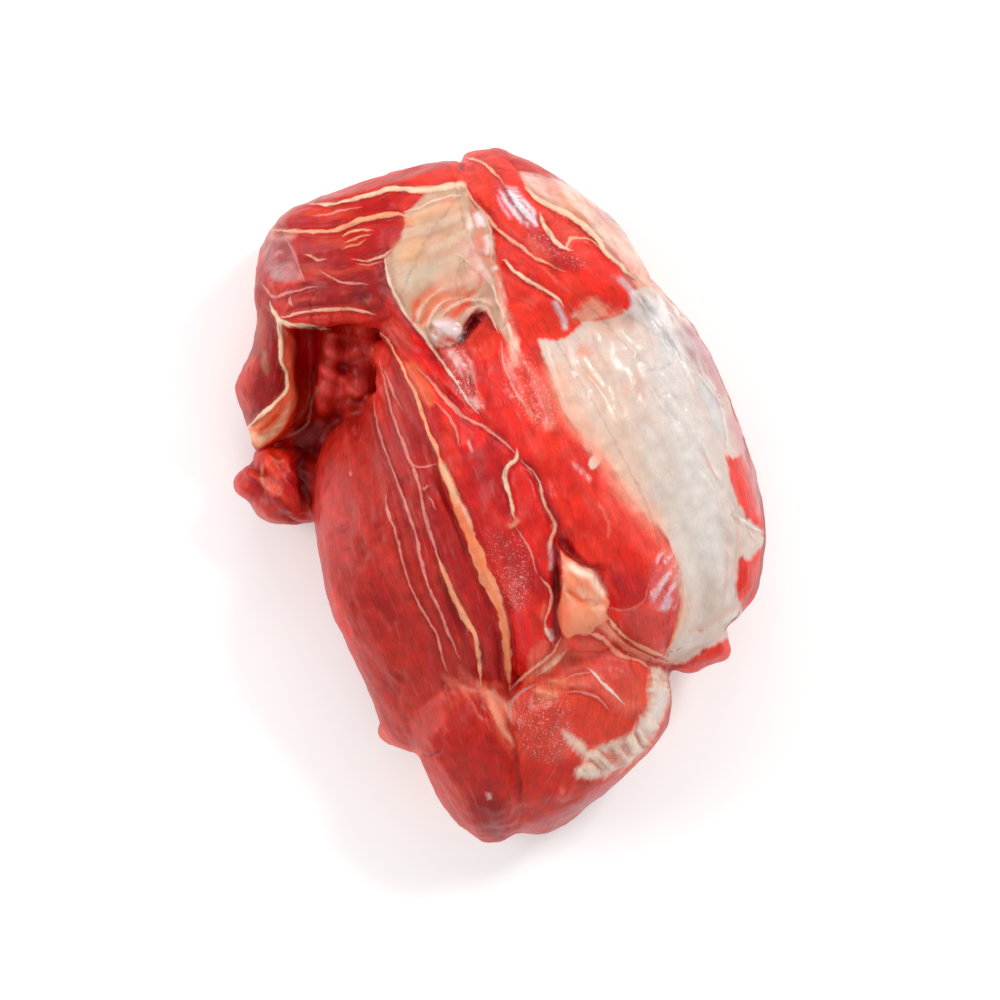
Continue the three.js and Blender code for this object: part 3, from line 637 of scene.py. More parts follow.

# Stretches of one colour, from the lowest layer up: tint, width of the soft edge in mm, how much
# of the tint, and outline.
# These tints carry some painted light and shade as well: the places that slope away to the left are painted
# darker.
patches = {
    "arch": ((200, 44, 36), 2, 1, [462, 156, 400, 176, 350, 190, 300, 203, 280, 220, 262, 245, 254, 280,
        256, 335, 275, 318, 330, 330, 380, 345, 388, 265, 404, 215, 462, 184]),
    "archFarRed": ((228, 62, 52), 1.4, 0.9, [466, 158, 430, 170, 395, 180, 340, 194, 345, 200, 392, 188,
        430, 188, 462, 183]),
    "archRim": ((186, 118, 118), 1.4, 0.6, [258, 246, 282, 214, 310, 198, 380, 181, 462, 152, 462, 160,
        380, 187, 312, 203, 288, 218, 268, 248]),
    "archLens": ((188, 34, 26), 1.2, 0.95, [351, 252, 356, 259, 370, 259, 389, 253, 400, 240, 403, 228,
        394, 219, 378, 221, 372, 228, 368, 240]),
    "archOrange": ((214, 70, 40), 4, 0.6, [312, 236, 330, 235, 344, 236, 342, 250, 326, 250, 314, 246]),
    "archBelow": ((156, 36, 36), 2.4, 0.9, [300, 262, 330, 262, 360, 266, 386, 262, 386, 300, 372, 312,
        345, 306, 300, 308, 285, 300, 300, 285]),
    "archLip": ((208, 52, 46), 1, 0.9, [284, 318, 300, 313, 340, 311, 372, 316, 374, 338, 345, 331,
        300, 325]),
    "archSide": ((166, 50, 50), 2.4, 0.85, [256, 270, 264, 290, 272, 302, 276, 320, 270, 345, 256, 345,
        252, 300]),
    "membrane": ((180, 106, 110), 1.6, 0.85, [268, 232, 294, 231, 292, 242, 298, 258, 304, 277, 298, 280,
        275, 280, 265, 272, 262, 258, 264, 244]),
    "membraneTop": ((222, 150, 142), 2, 0.8, [270, 229, 296, 230, 296, 237, 284, 239, 268, 239]),
    "membraneDark": ((156, 58, 60), 2.6, 0.8, [274, 243, 284, 240, 291, 248, 290, 258, 280, 262, 275, 256]),
    "flapOuter": ((154, 36, 32), 1.6, 1, [252, 335, 272, 315, 280, 335, 281, 362, 287, 388, 270, 410,
        250, 424, 232, 392, 242, 362]),
    "flapLeft": ((206, 56, 52), 3, 0.8, [250, 354, 258, 360, 252, 386, 250, 412, 240, 404, 234, 390,
        242, 368]),
    "flapOrange": ((196, 84, 60), 2, 0.4, [259, 318, 265, 320, 265, 345, 261, 354, 258, 345]),
    "flapStreak": ((184, 118, 100), 1.6, 0.6, [262, 348, 268, 356, 268, 376, 261, 366]),
    "pocket": ((228, 34, 26), 1, 1, [293, 328, 300, 329, 325, 333, 322, 360, 316, 385, 312, 405, 309, 425,
        312, 440, 300, 446, 270, 447, 256, 448, 272, 438, 284, 426, 292, 412, 297, 398, 294, 372,
        297, 350]),
    "pocketFace": ((220, 60, 48), 2, 0.8, [294, 402, 304, 372, 311, 384, 310, 410, 298, 428, 272, 440,
        284, 424]),
    "rimBand": ((240, 122, 88), 0.8, 1, [279, 322, 286, 330, 296, 341, 297, 351, 294, 365, 293, 376,
        296, 389, 298, 399, 293, 413, 283, 430, 272, 440, 257, 446, 247, 430, 256, 421, 266, 412, 277, 402,
        285, 393, 287, 384, 285, 373, 281, 362, 280, 340]),
    "rimPink": ((244, 142, 118), 1.2, 0.7, [281, 326, 290, 337, 294, 350, 290, 366, 283, 366, 281, 345]),
    "innerLump": ((214, 66, 64), 1.2, 1, [325, 331, 345, 336, 374, 342, 384, 362, 378, 392, 370, 403,
        350, 402, 334, 408, 320, 409, 317, 395, 319, 380, 318, 365, 321, 345]),
    "innerRidge": ((240, 92, 88), 1.4, 0.8, [328, 334, 336, 336, 334, 352, 327, 358, 325, 345]),
    "innerLobe": ((226, 74, 72), 1.4, 0.8, [321, 362, 332, 358, 336, 380, 332, 396, 324, 407, 318, 398,
        320, 380]),
    # Painted shade in the fold.
    "innerFold": ((150, 26, 26), 3, 0.7, [334, 362, 348, 360, 362, 368, 362, 378, 346, 378, 336, 372]),
    "innerLow": ((236, 88, 82), 2, 0.8, [352, 380, 364, 376, 371, 384, 368, 396, 356, 395]),
    "lobe": ((188, 34, 32), 1.2, 1, [262, 447, 280, 441, 300, 440, 309, 452, 309, 480, 313, 518, 296, 524,
        266, 524, 246, 506, 236, 489, 246, 468, 258, 458]),
    "lobeTop": ((244, 76, 60), 2, 0.8, [266, 450, 282, 446, 290, 458, 288, 474, 276, 478, 264, 468]),
    "lobeTip": ((240, 66, 46), 2, 0.8, [238, 482, 250, 474, 254, 488, 248, 500, 238, 494]),
    "lobePale": ((240, 110, 92), 2, 0.7, [262, 474, 276, 478, 282, 490, 272, 496, 263, 488]),
    # Painted shade in the crevice between the lobe and the belly.
    "lobeShade": ((128, 14, 14), 2.4, 0.85, [294, 446, 310, 446, 310, 480, 312, 506, 303, 506, 296, 480]),
    # A painted highlight.
    "lobeHighlight": ((214, 96, 92), 2, 0.6, [298, 494, 308, 496, 308, 508, 299, 508]),
    "belly": ((184, 52, 50), 1.6, 1, [337, 402, 368, 399, 383, 440, 403, 490, 417, 540, 432, 592, 457, 655,
        470, 700, 474, 745, 440, 745, 425, 757, 385, 748, 368, 695, 345, 630, 320, 575, 308, 480, 309, 450,
        318, 425]),
    "bellyTop": ((184, 54, 54), 6, 0.7, [330, 410, 350, 402, 366, 404, 372, 430, 350, 440, 322, 436]),
    "bellyPink": ((204, 70, 70), 6, 0.7, [312, 480, 330, 470, 345, 520, 330, 545, 318, 540]),
    "bellyEdge": ((226, 58, 50), 1.4, 0.8, [331, 590, 338, 598, 352, 632, 348, 640, 336, 612]),
    "bellyLowRed": ((200, 64, 58), 8, 0.8, [400, 690, 440, 680, 470, 700, 472, 740, 430, 744, 400, 720]),
    "tab": ((226, 82, 72), 2, 0.85, [378, 726, 386, 730, 400, 744, 425, 752, 430, 758, 400, 757, 380, 748]),
    "leftHead": ((198, 50, 44), 4, 1, [430, 745, 455, 705, 480, 690, 506, 700, 512, 740, 520, 790, 526, 822,
        506, 850, 485, 842, 455, 815, 440, 790, 424, 765]),
    "leftHeadPale": ((194, 66, 66), 6, 0.8, [428, 766, 450, 756, 472, 780, 474, 808, 458, 815, 440, 790]),
    "leftHeadDark": ((156, 34, 36), 5, 0.8, [472, 800, 500, 796, 506, 832, 488, 836, 470, 820]),
    "panel": ((190, 50, 46), 1, 1, [374, 348, 386, 348, 400, 376, 414, 405, 430, 445, 452, 492, 470, 534,
        496, 604, 502, 640, 504, 688, 482, 690, 462, 668, 448, 628, 420, 552, 397, 475, 375, 420,
        368, 385]),
    "panelTop": ((240, 74, 68), 3, 0.9, [374, 348, 386, 350, 392, 372, 386, 392, 380, 420, 372, 400]),
    "panelDeep": ((176, 18, 20), 3, 0.9, [430, 470, 444, 486, 466, 534, 496, 604, 502, 640, 502, 686,
        484, 688, 478, 640, 456, 600, 434, 550, 420, 490]),
    "panelEnd": ((222, 92, 78), 2.4, 0.8, [458, 664, 478, 680, 500, 682, 506, 696, 484, 700, 462, 690]),
    "main": ((198, 26, 24), 1.2, 1, [378, 322, 392, 312, 412, 326, 440, 356, 470, 400, 515, 450, 505, 490,
        514, 535, 540, 580, 552, 610, 545, 640, 520, 690, 510, 690, 507, 640, 500, 606, 476, 544, 456, 494,
        434, 440, 414, 395, 394, 352]),
    "mainCoral": ((224, 74, 64), 1.6, 0.9, [380, 324, 394, 318, 410, 336, 428, 362, 420, 372, 404, 356,
        390, 340]),
    "mainBright": ((252, 50, 40), 2, 0.95, [412, 332, 430, 350, 452, 378, 476, 412, 492, 428, 480, 446,
        462, 450, 444, 420, 424, 380, 412, 356]),
    "mainOrange": ((248, 122, 84), 2.4, 0.9, [404, 362, 418, 364, 430, 384, 434, 404, 426, 404, 414, 386]),
    "mainLight": ((232, 72, 64), 3, 0.7, [440, 420, 456, 430, 462, 462, 458, 478, 446, 462]),
    "tongue": ((222, 40, 38), 2.4, 0.9, [512, 606, 545, 600, 551, 640, 545, 664, 528, 682, 513, 686,
        510, 650]),
    "tongueTip": ((248, 112, 92), 1.8, 0.8, [530, 650, 544, 640, 549, 648, 543, 664, 532, 680, 527, 672]),
    "middle": ((232, 50, 42), 1.6, 1, [478, 330, 500, 330, 530, 350, 552, 384, 570, 424, 588, 466, 600, 520,
        598, 566, 572, 556, 552, 512, 532, 468, 516, 450, 484, 410, 472, 380, 472, 356]),
    "middleShade": ((206, 44, 40), 3, 0.7, [470, 350, 482, 344, 486, 372, 496, 400, 508, 424, 496, 424,
        478, 396]),
    "middleCoral": ((240, 82, 68), 4, 0.7, [500, 352, 524, 354, 548, 388, 560, 420, 546, 430, 516, 400]),
    "tendonRed": ((232, 66, 56), 1.6, 0.9, [470, 334, 480, 326, 492, 330, 496, 350, 482, 360, 470, 350]),
    "rootStreaks": ((226, 88, 84), 1.2, 0.9, [440, 352, 456, 348, 470, 362, 472, 392, 462, 386, 448, 368]),
    "slender": ((226, 46, 38), 1.2, 0.9, [514, 462, 530, 468, 542, 500, 553, 526, 550, 552, 548, 580,
        536, 560, 516, 524, 508, 490]),
    "slenderLow": ((196, 34, 34), 3, 0.8, [516, 530, 530, 552, 546, 580, 540, 600, 524, 590, 508, 550]),
    "broad": ((232, 56, 50), 1.6, 1, [560, 420, 580, 434, 590, 456, 606, 458, 618, 474, 640, 508, 660, 532,
        676, 560, 684, 600, 678, 625, 668, 655, 640, 644, 615, 620, 608, 600, 600, 572, 576, 552, 560, 520,
        552, 480, 550, 440]),
    "broadCoral": ((254, 86, 78), 4, 0.9, [600, 468, 612, 472, 636, 508, 660, 542, 668, 560, 650, 560,
        626, 536, 604, 506]),
    "broadDark": ((198, 38, 38), 3, 0.8, [604, 578, 630, 572, 648, 584, 644, 602, 618, 608, 606, 598]),
    "broadLow": ((226, 84, 78), 3, 0.9, [620, 612, 660, 604, 682, 606, 676, 636, 666, 652, 640, 640]),
    "shoulder": ((206, 60, 52), 1.4, 0.8, [600, 620, 616, 634, 640, 650, 670, 660, 676, 668, 650, 664,
        618, 648, 600, 632]),
    "rightHead": ((226, 74, 60), 1.8, 1, [510, 694, 530, 678, 560, 642, 600, 642, 640, 664, 662, 672,
        672, 690, 660, 735, 640, 766, 605, 790, 580, 812, 545, 830, 520, 834, 524, 810, 516, 755,
        509, 720]),
    "rightHeadTop": ((240, 108, 94), 4, 0.8, [560, 650, 590, 644, 625, 662, 640, 700, 624, 716, 596, 690,
        566, 680]),
    "rightHeadRed": ((222, 72, 60), 3, 0.7, [604, 662, 628, 668, 636, 700, 622, 696, 606, 680]),
    "rightHeadDeep": ((204, 58, 48), 3, 0.8, [516, 704, 545, 706, 566, 712, 562, 756, 530, 758, 514, 730]),
    "rightHeadLow": ((200, 48, 42), 5, 0.85, [520, 762, 560, 756, 600, 782, 580, 812, 545, 830, 524, 826]),
    "rightHeadRim": ((202, 120, 122), 2, 0.6, [600, 786, 620, 776, 600, 800, 570, 820, 536, 832, 520, 834,
        526, 824, 560, 812]),
    "crown": ((234, 58, 50), 1.2, 1, [462, 158, 480, 151, 510, 163, 540, 190, 575, 224, 612, 262, 632, 290,
        630, 310, 590, 322, 575, 335, 545, 344, 520, 342, 505, 305, 496, 262, 484, 216, 464, 186]),
    "crownTipRed": ((240, 66, 56), 1.6, 0.9, [463, 160, 480, 156, 498, 178, 494, 196, 486, 208, 470, 190]),
    "crownDark": ((186, 36, 32), 3, 0.8, [520, 230, 534, 226, 548, 238, 566, 252, 590, 266, 580, 276,
        552, 264, 534, 250]),
    "crownSecond": ((230, 78, 66), 1, 0.9, [541, 207, 562, 219, 579, 230, 591, 240, 572, 238, 567, 244,
        553, 235, 543, 219]),
    "crownLobe": ((248, 80, 70), 4, 0.7, [584, 250, 610, 262, 630, 284, 628, 300, 604, 300, 590, 280]),
    "crownRight": ((238, 52, 46), 2.4, 0.9, [578, 258, 600, 256, 622, 272, 628, 292, 624, 308, 600, 304,
        584, 290]),
    "farBand": ((234, 190, 172), 1.2, 0.95, [519, 172, 540, 176, 575, 187, 605, 212, 645, 255, 690, 318,
        672, 318, 640, 290, 612, 258, 586, 228, 548, 206, 530, 192]),
    "farOrange": ((238, 138, 104), 2.2, 0.75, [558, 194, 568, 198, 590, 220, 584, 224, 566, 208]),
    "farOrangeLow": ((236, 150, 122), 2.4, 0.7, [614, 252, 632, 268, 652, 290, 642, 292, 622, 270]),
    "scrapTop": ((246, 56, 48), 0.8, 1, [727, 455, 734, 458, 744, 474, 758, 500, 764, 530, 760, 542,
        746, 518, 735, 496, 729, 474]),
    "scrapDeep": ((226, 36, 34), 0.8, 1, [736, 562, 748, 562, 752, 574, 748, 592, 752, 604, 744, 612,
        738, 598]),
    "scrapCoral": ((240, 96, 88), 1, 0.9, [752, 568, 757, 556, 766, 556, 764, 574, 754, 588]),
    "scrapEnd": ((234, 74, 70), 0.8, 1, [674, 670, 688, 658, 706, 651, 718, 638, 732, 638, 729, 656,
        722, 662, 708, 660, 698, 668, 680, 680]),
    "archRed": ((212, 48, 36), 2.4, 0.8, [400, 192, 440, 190, 428, 198, 412, 206, 396, 212, 370, 216,
        340, 228, 310, 230, 310, 212, 350, 202]),
    "membraneLow": ((196, 142, 146), 1.6, 0.7, [268, 268, 290, 264, 302, 276, 298, 280, 276, 280]),
    "membraneRight": ((186, 40, 38), 1.6, 0.8, [296, 236, 306, 236, 310, 250, 312, 274, 306, 276, 300, 264,
        297, 250]),
    "rimLow": ((248, 176, 140), 2, 0.8, [248, 432, 262, 432, 278, 420, 286, 410, 284, 426, 270, 440,
        256, 446]),
    "lobeUnder": ((206, 76, 70), 2.4, 0.7, [250, 500, 268, 500, 276, 516, 268, 524, 254, 514]),
    # A painted sheen under the broad muscle's painted highlight streaks.
    "broadPale": ((240, 112, 112), 2.4, 0.7, [652, 562, 670, 552, 682, 576, 680, 600, 668, 610, 650, 604]),
    "fatUnder": ((216, 66, 50), 1.6, 0.8, [600, 612, 612, 620, 640, 648, 668, 664, 650, 664, 618, 652,
        594, 636]),
    "rimUp": ((250, 110, 88), 1.2, 0.8, [283, 340, 292, 338, 296, 350, 292, 360, 284, 362]),
    "middleLow": ((238, 60, 52), 4, 0.6, [548, 424, 586, 462, 602, 512, 600, 560, 580, 556, 560, 500]),
    "scrapBright": ((248, 62, 54), 1, 1, [724, 450, 746, 452, 764, 500, 772, 535, 762, 530, 748, 518,
        738, 503, 730, 482]),
    "scrapLow": ((240, 54, 46), 1, 1, [736, 560, 746, 556, 760, 548, 772, 560, 760, 590, 744, 612,
        736, 590]),
    "scrapBottom": ((240, 66, 56), 1, 1, [684, 668, 700, 656, 724, 642, 740, 632, 744, 650, 730, 664,
        700, 672, 676, 680]),
    "crownTip": ((222, 60, 50), 3, 0.8, [462, 158, 480, 152, 500, 162, 504, 176, 490, 186, 470, 184]),
    "archMiddleRed": ((176, 40, 36), 3, 0.8, [300, 236, 345, 250, 352, 264, 386, 264, 386, 262, 340, 280,
        306, 276, 298, 256]),
    # Painted shade in the low end of the pocket.
    "pocketLow": ((128, 14, 12), 2.6, 0.75, [296, 426, 306, 420, 316, 424, 322, 436, 322, 450, 308, 454,
        294, 448]),
}

# Sheets that lie over the red, of silver skin, tendon and fat: tint, width of the soft edge in mm,
# and outline.
sheets = {
    "tendon": ((206, 168, 142), 1.2, [404, 214, 416, 204, 430, 191, 450, 185, 464, 185, 472, 200, 484, 216,
        492, 232, 496, 262, 499, 290, 508, 322, 520, 350, 512, 352, 500, 330, 488, 312, 474, 310, 464, 322,
        462, 336, 450, 345, 434, 346, 418, 330, 402, 310, 392, 292, 386, 270, 388, 254, 400, 240,
        405, 226]),
    "archTip": ((238, 200, 170), 1, [392, 188, 430, 186, 462, 182, 464, 190, 436, 194, 410, 192]),
    "fatLump": ((240, 146, 112), 0.8, [560, 550, 566, 556, 575, 562, 580, 566, 592, 570, 596, 580, 601, 586,
        604, 596, 610, 602, 606, 612, 608, 620, 598, 626, 588, 634, 576, 634, 568, 638, 560, 626, 558, 610,
        562, 594, 563, 576]),
    "headFat": ((230, 124, 94), 3, [534, 690, 545, 682, 556, 678, 564, 680, 566, 686, 558, 692, 552, 702,
        540, 704, 535, 698]),
    "headFatRight": ((236, 212, 192), 2.4, [652, 670, 660, 668, 670, 678, 674, 686, 669, 700, 662, 718,
        652, 738, 640, 755, 623, 768, 607, 775, 586, 779, 575, 775, 580, 768, 588, 763, 578, 752, 566, 739,
        564, 731, 574, 736, 584, 744, 593, 750, 607, 744, 625, 737, 637, 726, 646, 710, 650, 690]),
    "seamFat": ((236, 124, 98), 2.4, [484, 694, 496, 692, 505, 700, 503, 716, 508, 734, 511, 750, 503, 743,
        495, 729, 491, 712]),
    "silverTab": ((240, 208, 190), 0.8, [597, 449, 603, 452, 598, 466, 591, 470, 588, 464]),
    "peachFat": ((238, 158, 132), 4, [584, 304, 594, 300, 603, 306, 605, 316, 594, 322, 582, 322,
        574, 316]),
    "silverSkin": ((224, 206, 194), 1.4, [538, 340, 556, 340, 574, 332, 584, 320, 600, 318, 620, 313,
        632, 306, 634, 290, 660, 290, 700, 318, 720, 352, 733, 388, 742, 424, 744, 450, 734, 458, 727, 456,
        730, 482, 738, 503, 750, 520, 764, 532, 764, 545, 757, 550, 750, 560, 740, 558, 736, 575, 737, 596,
        742, 612, 738, 630, 724, 640, 710, 646, 696, 654, 682, 664, 668, 660, 676, 632, 683, 604, 680, 574,
        668, 540, 650, 518, 636, 504, 622, 482, 606, 458, 600, 450, 588, 450, 580, 434, 565, 414, 558, 394,
        550, 372]),
    "tendonBand": ((242, 168, 146), 2, [492, 270, 500, 270, 504, 296, 510, 318, 518, 342, 518, 362,
        512, 366, 504, 334, 496, 304]),
}

# Softer colour over both the flesh and the sheets: tint, width in mm, how much of the tint, and line.
strokes = {
    "silverPeach": ((240, 180, 154), 7, 0.75, [548, 350, 558, 378, 570, 404, 586, 430, 604, 452, 618, 474,
        634, 496, 652, 514, 670, 540]),
    "silverTop": ((242, 196, 172), 6, 0.6, [585, 326, 606, 324, 628, 318]),
    "silverBlushOne": ((244, 132, 100), 4, 0.75, [577, 348, 584, 352, 592, 356]),
    "silverBlushTwo": ((242, 156, 122), 3, 0.6, [584, 372, 590, 376, 598, 384]),
    "silverWhite": ((230, 222, 216), 14, 0.85, [656, 330, 676, 390, 692, 450, 706, 520, 712, 590]),
    # Partly the silver skin's own white and partly a painted sheen.
    "silverWhiteTop": ((228, 226, 226), 6, 0.7, [640, 300, 660, 330, 676, 360]),
    "silverBlue": ((206, 214, 216), 3.4, 0.6, [698, 376, 712, 404, 721, 440]),
    "silverMauveTop": ((206, 152, 158), 4, 0.8, [684, 318, 700, 345, 716, 376, 728, 404]),
    "silverMauve": ((216, 158, 160), 5, 0.9, [728, 404, 742, 440, 756, 480, 766, 524]),
    "silverRose": ((220, 90, 90), 2, 0.6, [690, 350, 696, 358]),
    "silverFold": ((222, 176, 168), 1.2, 0.6, [724, 520, 727, 560, 724, 600]),
    "silverFoldRight": ((228, 172, 160), 1, 0.5, [735, 510, 738, 545, 730, 585]),
    "silverLow": ((222, 196, 186), 5, 0.6, [690, 640, 710, 634, 728, 622]),
    "silverLowMark": ((232, 128, 84), 1.4, 0.7, [698, 631, 703, 630]),
    "silverLeftLow": ((236, 200, 178), 4, 0.7, [676, 570, 686, 600, 680, 640]),
    "tendonOrangeLeft": ((240, 150, 104), 1.2, 0.8, [404, 218, 410, 221, 418, 222]),
    "tendonOrangeTop": ((240, 146, 108), 1, 0.7, [424, 214, 437, 209, 450, 205, 460, 206]),
    "tendonGrey": ((206, 188, 166), 4.5, 0.7, [400, 282, 412, 278, 428, 272, 446, 266]),
    # A painted highlight on a wet white lump of the tendon.
    "tendonHighlight": ((250, 240, 240), 3, 0.9, [475, 212, 480, 220, 481, 228]),
    "tendonPeach": ((232, 180, 140), 6, 0.7, [394, 258, 408, 250, 424, 246]),
    "tendonArcOne": ((234, 96, 66), 1.5, 0.8, [412, 326, 415, 310, 419, 298]),
    "tendonArcTwo": ((240, 136, 100), 2, 0.75, [422, 330, 425, 314, 434, 301, 448, 292]),
    "tendonArcThree": ((240, 122, 92), 1.8, 0.75, [440, 314, 447, 305, 456, 298, 468, 293, 480, 292]),
    "tendonArcFour": ((236, 76, 54), 2.6, 0.9, [448, 320, 457, 312, 466, 305, 474, 303]),
    "tendonPink": ((238, 178, 164), 2.4, 0.6, [470, 240, 478, 262, 486, 276, 494, 284]),
    "tendonLump": ((232, 206, 206), 4.6, 0.9, [434, 330, 446, 326, 458, 330]),
    "tendonLumpRed": ((226, 92, 84), 2.2, 0.8, [436, 341, 448, 340, 456, 337]),
    "tendonRim": ((240, 214, 196), 1.2, 0.7, [464, 322, 470, 312, 480, 309, 488, 311]),
    "crownDarkEdge": ((168, 36, 36), 1.4, 0.6, [532, 232, 545, 232, 552, 240]),
    # Painted highlights on the crown.
    "crownHighlight": ("lilac", 1.7, 0.8, [554, 298, 558, 308, 563, 318, 566, 332]),
    "crownHighlightSmall": ("lilac", 1.6, 0.7, [573, 314, 576, 316]),
    "crownHighlightRight": ((230, 222, 224), 2, 0.75, [616, 276, 624, 282, 632, 292, 634, 306, 638, 320]),
    "crownEdgeRed": ((240, 84, 56), 1.1, 0.8, [590, 321, 606, 318, 626, 312]),
    "crownFlat": ((190, 60, 70), 1.4, 0.6, [498, 176, 504, 186, 500, 196]),
    "farOuter": ((206, 192, 188), 2.4, 0.6, [536, 176, 575, 188, 604, 212, 640, 252, 680, 304]),
    "membraneGlint": ((206, 130, 134), 1, 0.7, [275, 258, 278, 252, 284, 253]),
    "membraneSide": ((186, 104, 110), 3, 0.6, [258, 262, 262, 276, 262, 292]),
    # Painted wet highlights on the root.
    "rootStreakOne": ((236, 186, 186), 0.8, 0.7, [446, 352, 456, 364, 464, 380]),
    "rootStreakTwo": ((240, 190, 188), 0.7, 0.6, [454, 350, 464, 364, 470, 384]),
    "rootHighlight": ((246, 196, 186), 1.4, 0.7, [466, 398, 474, 404, 480, 410]),
    "mainGlint": ((246, 214, 206), 0.8, 0.85, [468, 438, 470, 446, 473, 453]),
    "stripOrangeTop": ((242, 112, 76), 2.4, 0.8, [450, 492, 460, 514, 470, 540, 480, 562, 492, 588]),
    "stripCreamTop": ((236, 200, 164), 2, 0.8, [440, 460, 446, 474, 453, 490, 460, 508]),
    "stripCreamRight": ((240, 206, 184), 1, 0.7, [462, 504, 469, 520, 472, 530]),
    "stripLowLine": ((240, 190, 160), 1, 0.6, [484, 568, 496, 592, 505, 616, 507, 640]),
    "leafOrange": ((240, 150, 116), 1.2, 0.6, [440, 566, 450, 586, 462, 610, 472, 630]),
    "whiteDot": ((228, 150, 132), 2, 0.9, [425, 487, 426, 489]),
    "beadSlender": ((238, 158, 124), 3.6, 0.95, [513, 522, 515, 526]),
    # A painted highlight.
    "slenderHighlight": ((228, 168, 176), 1.4, 0.7, [549, 540, 551, 558, 550, 572]),
    # A painted highlight along the fat lump's knobbly right edge.
    "fatHighlight": ((250, 226, 202), 2.6, 0.9, [566, 560, 576, 570, 590, 575, 596, 584, 606, 600]),
    "fatOrange": ((240, 112, 76), 1.4, 0.8, [564, 588, 572, 594, 580, 601, 592, 604]),
    "fatPeach": ((244, 156, 120), 5, 0.75, [568, 616, 582, 620, 598, 614]),
    "fatRedLeft": ((240, 118, 92), 1.4, 0.6, [561, 608, 562, 625, 572, 634]),
    # Painted highlight streaks.
    "broadStreakOne": ((244, 150, 142), 0.7, 0.7, [655, 560, 660, 552]),
    "broadStreakTwo": ((244, 156, 148), 0.7, 0.7, [662, 562, 668, 552]),
    # A broken painted highlight along the broad muscle.
    "highlightDash": ((246, 206, 200), 0.9, 0.75, [571, 461, 576, 466, 582, 472, 588, 478, 592, 483]),
    "highlightEdge": ((242, 140, 130), 0.8, 0.6, [596, 500, 604, 513, 609, 527, 608, 540]),
    "swirlOne": ((228, 130, 114), 0.9, 0.6, [566, 686, 580, 684, 594, 688]),
    "headSpeck": ((240, 132, 96), 2, 0.6, [538, 694, 548, 698, 558, 690]),
    "headWhite": ((224, 214, 206), 3.6, 0.8, [664, 690, 660, 704, 654, 722]),
    "headBump": ((232, 108, 100), 3.4, 0.8, [560, 792, 566, 792]),
    # A thin painted glint.
    "headGlint": ((226, 176, 166), 1.4, 0.8, [488, 792, 490, 800]),
    "panelSwirlOne": ((234, 140, 124), 1.2, 0.6, [462, 684, 470, 690, 480, 690]),
    "panelSwirlTwo": ((226, 120, 112), 0.8, 0.5, [446, 684, 444, 694]),
    "lobeRim": ((236, 150, 132), 0.9, 0.7, [262, 462, 262, 474, 263, 484, 270, 490]),
    "lobeTopLine": ((246, 140, 118), 0.9, 0.6, [270, 456, 278, 462, 284, 460]),
    "bellyLine": ((206, 100, 98), 1, 0.5, [352, 426, 357, 436]),
    "bellyDot": ((232, 150, 150), 0.9, 0.8, [349, 473, 351, 474]),
    "bellySeamPale": ((214, 100, 98), 1.2, 0.4, [378, 610, 384, 620, 392, 632]),
    "silverPeachWide": ((232, 194, 172), 12, 0.6, [575, 340, 590, 372, 604, 404, 620, 436, 640, 470,
        656, 496]),
    "silverGrey": ((222, 210, 200), 7, 0.6, [640, 430, 656, 470, 676, 510, 690, 560, 694, 610]),
    "silverGreyTop": ((200, 176, 178), 5, 0.7, [676, 324, 690, 346, 702, 366]),
    "silverBlushThree": ((250, 226, 214), 2, 0.7, [570, 344, 572, 356, 576, 366]),
    "tendonOrangeSecond": ((238, 120, 84), 0.8, 0.7, [440, 203, 450, 200, 458, 201]),
    "tendonOrangeDot": ((216, 96, 60), 0.9, 0.8, [405, 225, 409, 226, 413, 226]),
    "tendonTan": ((206, 150, 110), 1.6, 0.55, [396, 268, 404, 262, 414, 258, 428, 250]),
    "tendonPinkMiddle": ((238, 178, 158), 6, 0.6, [432, 280, 446, 284, 462, 280]),
    "tendonRedRight": ((236, 96, 76), 0.9, 0.75, [479, 270, 481, 280, 478, 290]),
    "tendonPinkSpot": ((236, 150, 130), 2, 0.7, [473, 248, 476, 254]),
    # More painted highlights on the tendon's wet lumps.
    "tendonHighlightSecond": ((246, 226, 222), 2.2, 0.8, [484, 234, 488, 244, 484, 256]),
    "tendonHighlightBlob": ((240, 226, 216), 1.8, 0.9, [494, 266, 496, 270]),
    "tendonDarkRight": ((196, 34, 30), 0.8, 0.7, [468, 196, 476, 206, 484, 217]),
    "bandRed": ((240, 96, 78), 0.9, 0.6, [502, 284, 506, 306, 512, 326]),
    "bandCream": ((248, 214, 194), 0.8, 0.7, [499, 276, 502, 300, 508, 324, 514, 344]),
    "fatOrangeUp": ((244, 130, 92), 2.6, 0.7, [566, 570, 572, 580, 578, 590]),
    "slenderPink": ((232, 110, 90), 1.2, 0.8, [546, 600, 543, 612, 542, 622]),
    "slenderWhiteLow": ((246, 222, 212), 1.4, 0.8, [544, 628, 550, 634, 553, 642]),
    "headBand": ((226, 118, 96), 3.6, 0.75, [520, 684, 534, 674, 548, 664, 560, 650, 570, 640]),
    "headBandPale": ((238, 180, 156), 1.8, 0.7, [542, 672, 552, 664, 562, 654]),
    "gapRim": ((236, 110, 96), 0.9, 0.6, [474, 386, 480, 396, 484, 404]),
    "hollowGlint": ((214, 110, 128), 1, 0.9, [468, 328, 472, 321, 475, 322]),
    "tendonWarmTop": ((236, 178, 142), 3.4, 0.6, [410, 222, 430, 212, 452, 208, 466, 204]),
    "tendonPinkRight": ((240, 176, 162), 4.4, 0.7, [462, 236, 470, 252, 474, 270, 470, 288]),
    "fatOrangeLeft": ((244, 120, 88), 3, 0.6, [562, 600, 564, 614, 570, 628]),
    "headEdgeRed": ((226, 92, 72), 1.6, 0.6, [600, 752, 612, 758, 624, 756]),
    # Painted shade in the gap between the muscles.
